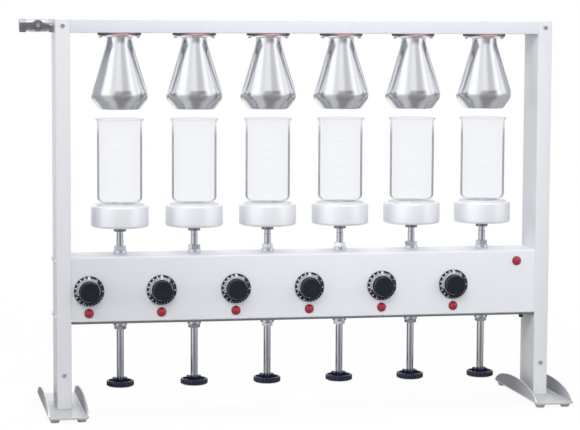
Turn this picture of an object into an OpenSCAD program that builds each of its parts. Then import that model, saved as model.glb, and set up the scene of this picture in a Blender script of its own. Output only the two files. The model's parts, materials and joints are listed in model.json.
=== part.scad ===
// Bench apparatus that boils samples in a row of beakers under cold-finger condensers.
// +X runs right along the front, +Y runs to the back and +Z runs up from the bench.
// The origin lies on the bench under the middle of the whole.

/* [Stations] */
// Number of heating stations in the row
stations = 6; // [2:1:6]
// Distance between neighbouring station axes
pitch = 135; // [115:1:160]
// Clear distance from an end station's axis to its post
side_room = 91.5; // [80:0.5:120]
// Free height between a beaker's rim and its condenser at rest
rim_gap = 16.5; // [8:0.5:30]

/* [Frame] */
// Width of a post seen from the front
post_w = 26; // [22:1:40]
// Wall of the post tube
post_wall = 2.5; // [1.5:0.5:4]
// Corner radius of the post tube
post_r = 2; // [0.5:0.5:4]
// Height of the hollow cooling water beam
beam_h = 24; // [22:1:40]
// Wall of the beam at its top, front and back
beam_wall = 2; // [1.5:0.5:3]
// Floor of the beam, which the condenser screws bite into
beam_floor = 6; // [5:0.5:8]
// End plate of the beam
beam_end = 6; // [4:1:10]
// Step from the beam's underside to its tenon in the post
tenon_step = 3; // [2:0.5:4]

/* [Feet] */
// Width of a foot channel
foot_w = 71; // [55:1:90]
// Length of a foot channel from front to back
foot_l = 260; // [200:5:320]
// Sheet thickness of a foot channel
foot_t = 2.5; // [2:0.5:4]
// Height of the arched wings of a foot
wing_h = 30; // [20:1:45]
// Height of the upright in a foot that enters the post
tongue_h = 80; // [50:1:110]
// Height of the lower post screw above the foot plate
tongue_screw_z = 61; // [30:1:70]
// Wall of that upright
tongue_t = 3; // [2:0.5:4]
// Height of a rubber pad
pad_h = 6; // [4:0.5:10]
// Diameter of a rubber pad at the foot
pad_d = 20; // [14:1:26]
// Diameter of a rubber pad at the bench
pad_tip_d = 14; // [8:1:20]
// Distance of a pad's axis from the foot's edges
pad_in = 12; // [10.5:0.5:16]

/* [Control box] */
// Height of the box's front panel above the bench
box_z = 165; // [140:1:220]
// Height of the box's front panel
box_h = 116; // [100:1:150]
// Sheet thickness of the box
box_wall = 2; // [1.5:0.5:3]
// Bend radius along the box's top edges
box_r = 4; // [2.5:0.5:6]
// Distance of the box's front and back from the post faces
box_setback = 1; // [0.5:0.5:4]
// Gap between the box and each post
box_gap = 0.5; // [0.3:0.1:0.8]
// Corner block's length along the box
block_l = 20; // [18:1:30]
// Corner block's height and depth
block = 14; // [12:1:18]
// Height of the recess between the front panel and the bottom cover
cover_gap = 2.5; // [1.5:0.5:4]
// Depth of that recess
cover_step = 5; // [3:0.5:8]
// Sheet thickness of the bottom cover
cover_t = 2; // [1.5:0.5:3]

/* [Lift] */
// Height of the heater's underside above the box at rest
heater_rise = 49.5; // [46:0.5:70]
// Diameter of the lift screw
screw_d = 13; // [10:0.5:16]
// Diameter of the lift screw's neck under the heater
neck_d = 12; // [8:0.5:14]
// Bare length of that neck below the boss
neck_l = 8; // [4:1:12]
// Diameter of the boss under a heater
boss_d = 22; // [18:1:26]
// Height of that boss
boss_h = 8.5; // [7:0.5:11]
// Depth of the lift screw's seat in the boss
seat_h = 6; // [4:0.5:6.5]
// Diameter of a guide bush's collar
collar_d = 25; // [23:0.5:30]
// Height of the upper bush's collar
collar_h = 8; // [5:0.5:10]
// Height of the lower bush's collar
low_collar_h = 9.5; // [4:0.5:12]
// Width across flats of a guide bush's hexagon
hex_af = 19; // [18:0.5:20]
// Height of the upper bush's hexagon
hex_h = 8; // [6:0.5:10]
// Height of the lower bush's hexagon
low_hex_h = 6.5; // [6:0.5:11]
// Diameter of a guide bush's shank
shank_d = 18; // [17:0.5:20]
// Length of a guide bush's shank inside the box
shank_l = 8; // [6:0.5:12]

/* [Handwheel] */
// Height of the handwheel's underside above the bench at rest
wheel_z = 40.5; // [30:0.5:55]
// Diameter of the handwheel
wheel_d = 50; // [40:1:64]
// Height of the handwheel's rim
wheel_h = 11; // [8:0.5:16]
// Wall of the handwheel's rim
wheel_rim = 4; // [3:0.5:6]
// Floor of the handwheel's dish
wheel_floor = 4; // [3:0.5:6]
// Height of the bevel under the handwheel
wheel_bevel = 2; // [1:0.5:2.5]
// Diameter of the handwheel's hub
hub_d = 20; // [18:1:26]
// Height of the hub above the rim
hub_rise = 4; // [2:0.5:8]
// Diameter of the lobes round the hub
lobe_d = 7; // [5:0.5:9]
// Height of the lobes above the hub
lobe_rise = 1; // [0.5:0.5:2]
// Radius of the circle that the lobes stand on
lobe_circle_r = 11; // [9:0.5:14]
// Thickness of the ribs from the lobes to the rim
rib_t = 3.5; // [2:0.5:5]
// Number of lobes, each with its rib
ribs = 6; // [3:1:8]
// Number of finger notches round the rim
notches = 14; // [8:1:20]
// Radius of a finger notch
notch_r = 3; // [2:0.5:4]
// Depth of a finger notch
notch_in = 1.2; // [0.5:0.1:2]

/* [Heater and beaker] */
// Diameter of the heater cup
heater_d = 104; // [98:1:112]
// Height of the heater cup
heater_h = 39; // [34:1:48]
// Radius of the cup's lower edge
heater_base_r = 5; // [3:0.5:10]
// Radius of the cup's upper edge
heater_rim_r = 4; // [2:0.5:6]
// Wall of the heater cup
heater_wall = 3; // [2:0.5:5]
// Diameter of the hot plate
plate_d = 88; // [80:1:92]
// Height of the hot plate above the cup
plate_step = 2.5; // [1.5:0.5:5]
// Diameter of the heating block under the hot plate
core_d = 78; // [60:1:79]
// Height of the heating block under the cup's rim
core_h = 14; // [8:1:18]
// Outer diameter of the beaker
beaker_d = 83; // [76:1:88]
// Height of the beaker
beaker_h = 153; // [130:1:170]
// Wall of the beaker
glass_t = 2; // [1.5:0.1:3]
// Diameter of the beaker's flared rim
rim_d = 90; // [88:1:96]
// Height of the flare at the rim
flare_h = 8; // [5:0.5:12]
// Corner radius at the beaker's base
beaker_base_r = 12; // [6:1:16]

/* [Condenser] */
// Height of the condenser below its flange
cond_h = 130; // [110:0.5:150]
// Diameter of the condenser's neck
cond_neck_d = 47; // [42:0.5:50]
// Length of the neck, which bends into the cone
cond_neck_l = 9.5; // [6:0.5:20]
// Diameter at the condenser's shoulder
cond_d = 108.5; // [98:0.5:114]
// Height of the shoulder above the condenser's bottom
cond_shoulder_h = 24.5; // [18:0.5:36]
// Diameter of the condenser's flat bottom
cond_base_d = 73.5; // [62:0.5:76]
// Rounding of the condenser's shoulder
cond_shoulder_r = 20; // [6:1:24]
// Rounding of the condenser's lower edge
cond_base_r = 3.5; // [3:0.5:8]
// Wall of the condenser
cond_wall = 1.5; // [1:0.1:2]
// Diameter of the condenser's flange
flange_d = 76; // [72:1:90]
// Thickness of the flange
flange_t = 2.5; // [2:0.5:4]
// Amount by which the gasket's edge stands out past the flange
gasket_over = 1; // [0.5:0.5:2]
// Thickness of the gasket
gasket_t = 4; // [2:0.5:5]
// Distance of the beam's faces from the gasket's edge
gasket_margin = 3; // [1:0.5:8]
// Distance of the flange screws from the flange's edge
flange_screw_in = 4; // [3.9:0.1:5]
// Diameter of the water opening between beam and condenser
water_d = 36; // [30:1:37]

/* [Dial and lamps] */
// Distance of a dial to the left of its station's axis
dial_offset = 65; // [55:1:75]
// Shift of the first dial away from its post
first_dial_shift = 5; // [0:1:8]
// Height of a dial's axis above the panel's lower edge
dial_z = 55; // [50:1:70]
// Diameter of the dial's skirt
skirt_d = 54; // [44:1:60]
// Thickness of the dial's skirt
skirt_t = 4.5; // [4:0.5:7]
// Bevel of the skirt's front edge
skirt_bevel = 2; // [1:0.5:3]
// Diameter of the dial's cap
cap_d = 37; // [30:1:40]
// Length of the dial's cap in front of the skirt
cap_l = 18; // [12:1:24]
// Rounding of the cap's front edge
cap_r = 2.5; // [1:0.5:4]
// Gap between the skirt and the panel
dial_gap = 0.8; // [0.4:0.1:1.5]
// Diameter of the dial's spindle
spindle_d = 6; // [5:0.5:7]
// Depth of the spindle in its regulator
spindle_in = 16; // [10:1:22]
// Wall of the regulator's bush round the spindle
bush_wall = 2; // [1.5:0.5:3]
// Wall of the nut on that bush
nut_wall = 2; // [1.5:0.5:3]
// Thickness of that nut
nut_t = 2; // [1.5:0.5:2.5]
// Clearance of the dial's recess round the nut
nut_room = 1; // [0.5:0.5:2]
// Width of a regulator
regulator_w = 40; // [30:1:48]
// Depth of a regulator behind the panel
regulator_d = 34; // [26:1:60]
// Height of a regulator
regulator_h = 36; // [30:1:48]
// Height of a pilot lamp's axis above the panel's lower edge
lamp_z = 15; // [12:1:18]
// Diameter of a pilot lamp's bezel
lamp_d = 17; // [13:0.5:18]
// Thickness of a pilot lamp's bezel
bezel_t = 2; // [1:0.5:4]
// Width of the bezel's lip round the panel hole
lamp_lip = 2.5; // [1.5:0.5:4]
// Length of a pilot lamp's body behind the panel
lamp_body_l = 24; // [16:1:40]
// Distance of the lens from the bezel's edge
lens_in = 1; // [0.5:0.5:2]
// Height of a pilot lamp's domed lens
lens_h = 4.5; // [3:0.5:6]
// Distance of the mains lamp from the panel's right end
mains_lamp_in = 35; // [20:1:50]
// Distance of the mains lamp from the panel's top edge
mains_lamp_down = 20; // [14:1:30]

/* [Valve and outlet] */
// Reach of the inlet valve beyond the left post
valve_l = 60; // [52:1:80]
// Width across flats of the valve's hexagon ends
valve_af = 23.5; // [22:0.5:28]
// Length of the hexagon end at the hose side
valve_hex_l = 12; // [10:1:16]
// Length of the hexagon end at the post
valve_root_l = 8; // [5:1:10]
// Diameter of the valve's round body
valve_d = 21; // [18:1:22]
// Radius of the threaded inlet
inlet_r = 9.3; // [8:0.1:10]
// Depth of the threaded inlet
inlet_l = 13; // [10:1:18]
// Radius of the water way through the valve and into the beam
water_way_r = 5; // [3:0.5:5.5]
// Length by which the nipple stops short of the tenon's full length
nipple_short = 3; // [2:0.5:5]
// Radius of the valve's stem
stem_r = 3; // [2:0.5:4]
// Depth of the stem in its boss
stem_in = 6; // [4:0.5:8]
// Radius of the stem's boss
stem_boss_r = 10.5; // [8:0.5:11]
// Amount by which that boss stands out past the hexagon ends
stem_boss_out = 1; // [0.5:0.5:3]
// Diameter of the nipple between valve and beam
nipple_d = 16; // [12:1:17]
// Distance by which the lever's grip end reaches past the valve's open end
lever_over = 0; // [-6:1:12]
// Length of the lever's tail on the other side
lever_tail = 24; // [15:1:25]
// Width of the lever
lever_w = 12; // [10:1:18]
// Distance of the lever's corners from its hub
lever_waist = 7; // [5:0.5:9]
// Thickness of the lever
lever_t = 3; // [2:0.5:5]
// Gap between the lever and the stem's boss
lever_gap = 0.5; // [0.3:0.1:1]
// Height of the round nut on the lever
lever_hub_h = 2.5; // [1.5:0.5:4]
// Taper of the lever's outline
lever_taper = 1; // [0.5:0.5:2]
// Radius of the outlet spigot
outlet_r = 7; // [5:0.5:8]
// Length of the outlet spigot behind the beam
outlet_l = 28; // [20:1:40]
// Wall of the outlet spigot
outlet_wall = 2.5; // [1.5:0.5:3]
// Distance of the outlet spigot from the right post
outlet_in = 30; // [20:1:60]

/* [Cable gland] */
// Diameter of the gland under the box
gland_d = 10; // [9:1:14]
// Height of the gland
gland_h = 12; // [8:1:18]
// Diameter of the gland's opening
gland_bore_d = 5; // [3:0.5:6]
// Width of the gland's lip round its hole
gland_lip = 1; // [0.5:0.5:1.5]
// Distance of the gland behind the station axes
gland_y = 8; // [0:1:14]

/* [Fasteners] */
// Diameter of the frame screws
frame_screw_d = 5; // [4:0.5:6]
// Head diameter of the frame screws
frame_head_d = 9.5; // [8:0.5:11]
// Head height of the frame screws
frame_head_h = 2.6; // [2:0.1:4]
// Height of the low heads under the bottom cover
cover_head_h = 1; // [0.6:0.1:2]
// Depth that the frame screws bite into
screw_bite = 9; // [6:0.5:10]
// Diameter of the flange screws
flange_screw_d = 4; // [3:0.5:5]
// Head diameter of the flange screws
flange_head_d = 7.5; // [6:0.5:7.8]
// Head height of the flange screws
flange_head_h = 2.4; // [1.5:0.1:3]
// Clearance round parts that are fixed in a hole
fit = 0.2; // [0.1:0.05:0.3]
// Running clearance round parts that turn or slide
run = 0.05; // [0.02:0.01:0.09]

/* [Hidden] */
$fn = 48;
eps = 1;
crown_share = 0.72;
socket_share = 0.7;
place = [for (i = [1 : stations]) i];

// Widths along X
inner_w = (stations - 1) * pitch + 2 * side_room;
foot_over = (foot_w - post_w) / 2;
frame_x = (valve_l - foot_over) / 2;
box_w = inner_w - 2 * box_gap;
function post_x(side) = frame_x + side * (inner_w + post_w) / 2;
function station_x(i) = frame_x + (i - (stations + 1) / 2) * pitch;
function dial_x(i) = station_x(i) - dial_offset + (i == 1 ? first_dial_shift : 0);

// Depths along Y
gasket_d = flange_d + 2 * gasket_over;
frame_d = gasket_d + 2 * gasket_margin;
box_d = frame_d - 2 * box_setback;
panel_y = -box_d / 2;
inside_d = frame_d - 2 * post_wall;

// Heights along Z, stacked from the bench to the top of the beam
foot_top = pad_h + foot_t;
box_top = box_z + box_h;
cover_top = box_z - cover_gap;
cover_z = cover_top - cover_t;
heater_z = box_top + heater_rise;
heater_top = heater_z + heater_h;
plate_top = heater_top + plate_step;
rim_z = plate_top + beaker_h;
cond_z = rim_z + rim_gap;
flange_z = cond_z + cond_h;
beam_z = flange_z + flange_t + gasket_t;
frame_h = beam_z + beam_h;
boss_z = heater_z - boss_h;

// Joints of the frame
tenon_l = post_w - post_wall - 2 * fit;
tenon_z = beam_z + tenon_step;
tenon_top = frame_h - post_wall - fit;
tenon_mid = (tenon_z + tenon_top) / 2;
tongue_screw = foot_top + tongue_screw_z;
block_mid = block / 2;
side_screw_y = box_d / 2 - box_wall - block_mid;
side_screw_z = [box_z + block_mid, box_top - box_wall - block_mid];
cover_screw_x = box_w / 2 - box_wall - block_l + block_mid;
flange_pcd = flange_d - 2 * flange_screw_in;
flange_bite = beam_floor - eps;

// Water way and valve
valve_z = tenon_mid;
valve_x = post_x(-1) - post_w / 2;
valve_mid = valve_x - (valve_l + valve_root_l - valve_hex_l) / 2;
lever_l = valve_mid - valve_x + valve_l + lever_over;
nipple_in = tenon_l - nipple_short;
valve_hex_r = valve_af / 2 / cos(30);
stem_boss_y = valve_hex_r + stem_boss_out;
lever_y = stem_boss_y + lever_gap;
outlet_bore_r = outlet_r - outlet_wall;
outlet_x = frame_x + inner_w / 2 - outlet_in;

// Lift
hex_d = hex_af / cos(30);
screw_end = wheel_z + wheel_floor;
neck_z = boss_z - neck_l;

// Dial and regulator
dial_axis_z = box_z + dial_z;
skirt_y = panel_y - dial_gap;
bush_d = spindle_d + 2 * bush_wall;
nut_d = (bush_d + 2 * nut_wall) / cos(30);
recess_d = nut_d + 2 * nut_room;
lamp_shank_d = lamp_d - 2 * lamp_lip;
lamp_axis_z = box_z + lamp_z;
mains_lamp_x = frame_x + box_w / 2 - mains_lamp_in;
mains_lamp_z = box_top - mains_lamp_down;

// Cable gland
gland_x = frame_x + box_w / 2 - gland_d;
gland_shank_d = gland_d - 2 * gland_lip;

// Colours
pale = [0.88, 0.89, 0.91];
grey = [0.66, 0.67, 0.69];
steel = [0.74, 0.75, 0.77];
chrome = [0.82, 0.83, 0.85];
satin = [0.86, 0.87, 0.90];
black = [0.09, 0.09, 0.11];
slate = [0.33, 0.34, 0.38];
pink = [0.80, 0.50, 0.51];
red = [0.70, 0.09, 0.13];
plate_grey = [0.45, 0.46, 0.48];
glass = [0.88, 0.93, 0.95, 0.35];
pad_grey = [0.72, 0.73, 0.73];

// Rectangle round its centre with four round corners
module round_rect(w, d, r) {
    square([w - 2 * r, d], center = true);
    square([w, d - 2 * r], center = true);
    for (sx = [-1, 1], sy = [-1, 1])
        translate([sx * (w / 2 - r), sy * (d / 2 - r)])
            circle(r);
}

// Rectangle that stands on the axis with two round upper corners
module arched_rect(w, h, r) {
    translate([-w / 2, 0])
        square([w, h - r]);
    translate([r - w / 2, 0])
        square([w - 2 * r, h]);
    for (side = [-1, 1])
        translate([side * (w / 2 - r), h - r])
            circle(r);
}

// Half profile of a turned cup or disc with round lower and upper edges
module turned_profile(r, h, base_r, top_r) {
    square([r - base_r, h - top_r]);
    translate([0, base_r])
        square([r, h - base_r - top_r]);
    translate([0, h / 2])
        square([r - top_r, h / 2]);
    translate([r - base_r, base_r])
        circle(base_r);
    translate([r - top_r, h - top_r])
        circle(top_r);
}

// Points of an arc of radius r that rounds the corner p between a and b
function unit(v) = v / norm(v);
function corner(a, p, b, r, n = 6) =
    let (
        u = unit(a - p),
        w = unit(b - p),
        half = acos(u * w) / 2,
        c = p + unit(u + w) * r / sin(half),
        s = p + u * r / tan(half) - c,
        e = p + w * r / tan(half) - c,
        from = atan2(s[1], s[0]),
        raw = atan2(e[1], e[0]) - from,
        turn = raw > 180 ? raw - 360 : raw < -180 ? raw + 360 : raw
    )
    [for (k = [0 : n]) c + r * [cos(from + turn * k / n), sin(from + turn * k / n)]];

// Extrudes a profile drawn in Y and Z along X, centred
module along_x(length) {
    rotate([90, 0, 90])
        linear_extrude(length, center = true)
            children();
}

// Turns a shape that points up so that it points to the front
module to_front() {
    rotate([90, 0, 0])
        children();
}

// Screw whose head stands above the plane z = 0 and whose shank goes below it
module head_screw(shank_d, shank_l, head_d, head_h) {
    difference() {
        union() {
            translate([0, 0, -shank_l])
                cylinder(h = shank_l + head_h / 2, d = shank_d);
            cylinder(h = head_h, d1 = head_d, d2 = head_d * crown_share);
        }
        translate([0, 0, head_h / 2])
            cylinder(h = head_h, d = shank_d * socket_share, $fn = 6);
    }
}

// Puts a copy of a part at each screw place of a condenser's flange
module flange_places(i) {
    for (turn = [0 : 90 : 270])
        translate([station_x(i), 0, 0])
            rotate([0, 0, turn])
                translate([flange_pcd / 2, 0, 0])
                    children();
}

// Puts a copy of a part at each place where a side screw meets the outside of a post
module side_screw_places(side) {
    for (sy = [-1, 1], z = side_screw_z)
        translate([post_x(side) + side * post_w / 2, sy * side_screw_y, z])
            rotate([0, side * 90, 0])
                children();
}

// Puts a copy of a part at each screw place under the bottom cover
module cover_screw_places() {
    for (sx = [-1, 1], sy = [-1, 1])
        translate([frame_x + sx * cover_screw_x, sy * side_screw_y, cover_z])
            mirror([0, 0, 1])
                children();
}

module post(side) {
    difference() {
        translate([post_x(side), 0, foot_top])
            linear_extrude(frame_h - foot_top)
                round_rect(post_w, frame_d, post_r);
        translate([post_x(side) - post_w / 2 + post_wall, -inside_d / 2, foot_top - eps])
            cube([post_w - 2 * post_wall, inside_d, frame_h - foot_top - post_wall + eps]);
        // window that the beam's tenon enters through
        translate([post_x(side) - side * post_w / 2, 0, (tenon_z - fit + frame_h - post_wall) / 2])
            cube([3 * post_wall, inside_d, frame_h - post_wall - tenon_z + fit], center = true);
        for (z = [tenon_mid, tongue_screw])
            translate([post_x(side), -frame_d / 2, z])
                to_front()
                    cylinder(h = 3 * post_wall, d = frame_screw_d + 2 * fit, center = true);
        side_screw_places(side)
            translate([0, 0, -post_w - eps])
                cylinder(h = post_w + 2 * eps, d = frame_screw_d + 2 * fit);
        if (side < 0)
            translate([valve_x - eps, 0, valve_z])
                rotate([0, 90, 0])
                    cylinder(h = post_wall + 2 * eps, d = nipple_d + 2 * fit);
    }
}

module left_post() {
    color(pale)
        post(-1);
}

module right_post() {
    color(pale)
        post(1);
}

module beam_tenon(side) {
    tenon_d = inside_d - 2 * fit;
    x = side * (inner_w + tenon_l) / 2;
    difference() {
        translate([frame_x + x, 0, tenon_mid])
            cube([tenon_l, tenon_d, tenon_top - tenon_z], center = true);
        translate([post_x(side), -tenon_d / 2 - eps, tenon_mid])
            rotate([-90, 0, 0])
                cylinder(h = screw_bite + 2 * eps, d = frame_screw_d + 2 * fit);
    }
}

module top_beam() {
    cavity_l = inner_w - 2 * beam_end;
    cavity_d = frame_d - 2 * beam_wall;
    cavity_h = beam_h - beam_floor - beam_wall;
    color(pale)
        difference() {
            union() {
                translate([frame_x - inner_w / 2, -frame_d / 2, beam_z])
                    cube([inner_w, frame_d, beam_h]);
                for (side = [-1, 1])
                    beam_tenon(side);
                translate([outlet_x, frame_d / 2 - beam_wall / 2, beam_z + beam_floor + cavity_h / 2])
                    rotate([-90, 0, 0])
                        cylinder(h = outlet_l + beam_wall / 2, r = outlet_r);
            }
            translate([frame_x - cavity_l / 2, -cavity_d / 2, beam_z + beam_floor])
                cube([cavity_l, cavity_d, cavity_h]);
            for (i = place) {
                translate([station_x(i), 0, beam_z - eps])
                    cylinder(h = beam_floor + 2 * eps, d = water_d);
                flange_places(i)
                    translate([0, 0, beam_z - eps])
                        cylinder(h = flange_bite + fit + eps, d = flange_screw_d + 2 * fit);
            }
            // inlet: the valve's nipple in the left tenon, then the way into the beam
            translate([frame_x - inner_w / 2 - tenon_l - eps, 0, valve_z])
                rotate([0, 90, 0]) {
                    cylinder(h = nipple_in + eps, d = nipple_d + 2 * fit);
                    cylinder(h = tenon_l + beam_end + 2 * eps, r = water_way_r);
                }
            translate([outlet_x, frame_d / 2 - 2 * beam_wall, beam_z + beam_floor + cavity_h / 2])
                rotate([-90, 0, 0])
                    cylinder(h = outlet_l + 3 * beam_wall, r = outlet_bore_r);
        }
}

module foot(side) {
    wing = [for (a = [0 : 5 : 180]) [foot_l / 2 * cos(a), wing_h * sin(a)]];
    tongue_w = post_w - 2 * post_wall - 2 * fit;
    tongue_d = inside_d - 2 * fit;
    translate([post_x(side), 0, pad_h])
        difference() {
            union() {
                translate([-foot_w / 2, -foot_l / 2, 0])
                    cube([foot_w, foot_l, foot_t]);
                for (s = [-1, 1])
                    translate([s * (foot_w - foot_t) / 2, 0, 0])
                        along_x(foot_t)
                            polygon(wing);
                translate([-tongue_w / 2, -tongue_d / 2, 0])
                    cube([tongue_w, tongue_d, foot_t + tongue_h]);
            }
            translate([tongue_t - tongue_w / 2, tongue_t - tongue_d / 2, foot_t])
                cube([tongue_w - 2 * tongue_t, tongue_d - 2 * tongue_t, tongue_h + eps]);
            translate([0, -tongue_d / 2, foot_t + tongue_screw_z])
                to_front()
                    cylinder(h = 3 * tongue_t, d = frame_screw_d + 2 * fit, center = true);
        }
}

module left_foot() {
    color(grey)
        foot(-1);
}

module right_foot() {
    color(grey)
        foot(1);
}

module rubber_feet() {
    color(pad_grey)
        for (side = [-1, 1], sx = [-1, 1], sy = [-1, 1])
            translate([post_x(side) + sx * (foot_w / 2 - pad_in), sy * (foot_l / 2 - pad_in), 0])
                cylinder(h = pad_h, d1 = pad_tip_d, d2 = pad_d);
}

module control_box() {
    inner_h = box_h - box_wall;
    color(pale)
        difference() {
            union() {
                translate([frame_x, 0, box_z])
                    difference() {
                        along_x(box_w)
                            arched_rect(box_d, box_h, box_r);
                        translate([0, 0, -eps])
                            along_x(box_w - 2 * box_wall)
                                arched_rect(box_d - 2 * box_wall, inner_h + eps, box_r - box_wall);
                    }
                // blocks in the corners that take the side screws and the cover screws
                for (sx = [-1, 1], sy = [-1, 1], z = side_screw_z)
                    translate([
                        frame_x + sx * (box_w - block_l - box_wall) / 2,
                        sy * (side_screw_y + box_wall / 4),
                        z + (z > side_screw_z[0] ? box_wall / 4 : 0)
                    ])
                        cube([
                            block_l + box_wall,
                            block + box_wall / 2,
                            block + (z > side_screw_z[0] ? box_wall / 2 : 0)
                        ], center = true);
            }
            for (i = place) {
                translate([station_x(i), 0, box_top - box_wall - eps])
                    cylinder(h = box_wall + 2 * eps, d = shank_d + 2 * fit);
                translate([dial_x(i), panel_y, dial_axis_z])
                    to_front()
                        cylinder(h = 3 * box_wall, d = bush_d + 2 * fit, center = true);
            }
            lamp_places()
                cylinder(h = 3 * box_wall, d = lamp_shank_d + 2 * fit, center = true);
            for (side = [-1, 1])
                side_screw_places(side)
                    translate([0, 0, -post_w - box_gap - screw_bite - fit])
                        cylinder(h = box_gap + screw_bite + fit + eps, d = frame_screw_d + 2 * fit);
            cover_screw_places()
                translate([0, 0, -cover_t - cover_gap - screw_bite - fit])
                    cylinder(h = screw_bite + fit + eps, d = frame_screw_d + 2 * fit);
        }
}

module bottom_cover() {
    step_w = box_w - 2 * box_wall - 2 * fit;
    step_d = box_d - 2 * cover_step;
    color(pale)
        difference() {
            union() {
                translate([frame_x - box_w / 2, -box_d / 2, cover_z])
                    cube([box_w, box_d, cover_t]);
                translate([frame_x - step_w / 2, -step_d / 2, cover_z])
                    cube([step_w, step_d, cover_t + cover_gap]);
            }
            for (i = place)
                translate([station_x(i), 0, cover_z - eps])
                    cylinder(h = cover_t + cover_gap + 2 * eps, d = shank_d + 2 * fit);
            translate([gland_x, gland_y, cover_z - eps])
                cylinder(h = cover_t + cover_gap + 2 * eps, d = gland_shank_d + 2 * fit);
            cover_screw_places()
                translate([0, 0, -cover_t - cover_gap - eps])
                    cylinder(h = cover_t + cover_gap + 2 * eps, d = frame_screw_d + 2 * fit);
        }
}

module condenser_gaskets() {
    color(pink)
        for (i = place)
            difference() {
                translate([station_x(i), 0, beam_z - gasket_t])
                    cylinder(h = gasket_t, d = gasket_d);
                translate([station_x(i), 0, beam_z - gasket_t - eps])
                    cylinder(h = gasket_t + 2 * eps, d = water_d);
                flange_places(i)
                    translate([0, 0, beam_z - gasket_t - eps])
                        cylinder(h = gasket_t + 2 * eps, d = flange_screw_d + 2 * fit);
            }
}

// Half profile of a condenser's wall, drawn down from the flange's top
module condenser_profile() {
    neck_r = cond_neck_d / 2;
    top = [neck_r, cond_h];
    neck = [neck_r, cond_h - cond_neck_l];
    shoulder = [cond_d / 2, cond_shoulder_h];
    base = [cond_base_d / 2, 0];
    w = [cond_wall, 0];
    up = [0, cond_wall];
    inner_base = base - w + up;
    lean = atan2(shoulder[0] - neck[0], neck[1] - shoulder[1]);
    bend_r = (cond_neck_l - cond_wall) / tan(lean / 2);
    polygon(concat(
        [[0, 0]],
        corner([0, 0], base, shoulder, cond_base_r),
        corner(base, shoulder, neck, cond_shoulder_r),
        corner(shoulder, neck, top, bend_r),
        [top + [0, flange_t], top - w + [0, flange_t]],
        corner(top - w, neck - w, shoulder - w, bend_r),
        corner(neck - w, shoulder - w, inner_base, cond_shoulder_r - cond_wall),
        corner(shoulder - w, inner_base, up, cond_base_r - cond_wall),
        [up]
    ));
}

module condenser(i) {
    color(steel)
        difference() {
            translate([station_x(i), 0, cond_z]) {
                rotate_extrude()
                    condenser_profile();
                translate([0, 0, cond_h])
                    difference() {
                        cylinder(h = flange_t, d = flange_d);
                        translate([0, 0, -eps])
                            cylinder(h = flange_t + 2 * eps, d = cond_neck_d - cond_wall);
                    }
            }
            flange_places(i)
                translate([0, 0, flange_z - eps])
                    cylinder(h = flange_t + 2 * eps, d = flange_screw_d + 2 * fit);
        }
}

module condenser_screws() {
    grip = flange_t + gasket_t + flange_bite;
    color(chrome)
        for (i = place)
            flange_places(i)
                translate([0, 0, flange_z])
                    mirror([0, 0, 1])
                        head_screw(flange_screw_d, grip, flange_head_d, flange_head_h);
}

// Guide bush on the plane z = 0, with its shank below and its hexagon above
module guide_bush(collar, hexagon) {
    difference() {
        union() {
            translate([0, 0, -shank_l])
                cylinder(h = shank_l + collar / 2, d = shank_d);
            cylinder(h = collar, d = collar_d);
            intersection() {
                translate([0, 0, collar / 2])
                    cylinder(h = collar / 2 + hexagon, d = hex_d, $fn = 6);
                translate([0, 0, collar / 2])
                    cylinder(h = collar / 2 + hexagon, d1 = hex_d + collar + hexagon, d2 = hex_af);
            }
        }
        translate([0, 0, -shank_l - eps])
            cylinder(h = shank_l + collar + hexagon + 2 * eps, d = screw_d + 2 * run);
    }
}

module upper_bushes() {
    color(chrome)
        for (i = place)
            translate([station_x(i), 0, box_top])
                guide_bush(collar_h, hex_h);
}

module lower_bushes() {
    color(chrome)
        for (i = place)
            translate([station_x(i), 0, cover_z])
                mirror([0, 0, 1])
                    guide_bush(low_collar_h, low_hex_h);
}

// Puts a copy of a part that points to the front at each pilot lamp's place on the panel
module lamp_places() {
    for (i = place)
        translate([dial_x(i), panel_y, lamp_axis_z])
            to_front()
                children();
    translate([mains_lamp_x, panel_y, mains_lamp_z])
        to_front()
            children();
}

module pilot_lamps() {
    lens_d = lamp_d - 2 * lens_in;
    ball_r = (lens_d * lens_d / 4 + lens_h * lens_h) / (2 * lens_h);
    color(red)
        lamp_places()
            union() {
                translate([0, 0, -lamp_body_l])
                    cylinder(h = lamp_body_l + bezel_t / 2, d = lamp_shank_d);
                cylinder(h = bezel_t, d = lamp_d);
                intersection() {
                    translate([0, 0, bezel_t + lens_h - ball_r])
                        sphere(ball_r);
                    translate([0, 0, bezel_t / 2])
                        cylinder(h = bezel_t + lens_h, d = lens_d);
                }
            }
}

module energy_regulators() {
    color(black)
        for (i = place)
            translate([dial_x(i), panel_y, dial_axis_z])
                to_front()
                    difference() {
                        union() {
                            translate([0, 0, -box_wall - regulator_d / 2])
                                cube([regulator_w, regulator_h, regulator_d], center = true);
                            translate([0, 0, -box_wall - eps])
                                cylinder(h = box_wall + nut_t + eps, d = bush_d);
                            cylinder(h = nut_t, d = nut_d, $fn = 6);
                        }
                        translate([0, 0, -spindle_in - eps])
                            cylinder(h = spindle_in + nut_t + 2 * eps, d = spindle_d + 2 * run);
                    }
}

module frame_screws() {
    wall_grip = post_wall + fit + screw_bite;
    side_grip = post_w + box_gap + screw_bite;
    cover_grip = cover_t + cover_gap + screw_bite;
    color(chrome) {
        for (side = [-1, 1]) {
            translate([post_x(side), -frame_d / 2, tenon_mid])
                to_front()
                    head_screw(frame_screw_d, wall_grip, frame_head_d, frame_head_h);
            translate([post_x(side), -frame_d / 2, tongue_screw])
                to_front()
                    head_screw(frame_screw_d, wall_grip, frame_head_d, frame_head_h);
            side_screw_places(side)
                head_screw(frame_screw_d, side_grip, frame_head_d, frame_head_h);
        }
        cover_screw_places()
            head_screw(frame_screw_d, cover_grip, frame_head_d, cover_head_h);
    }
}

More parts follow.
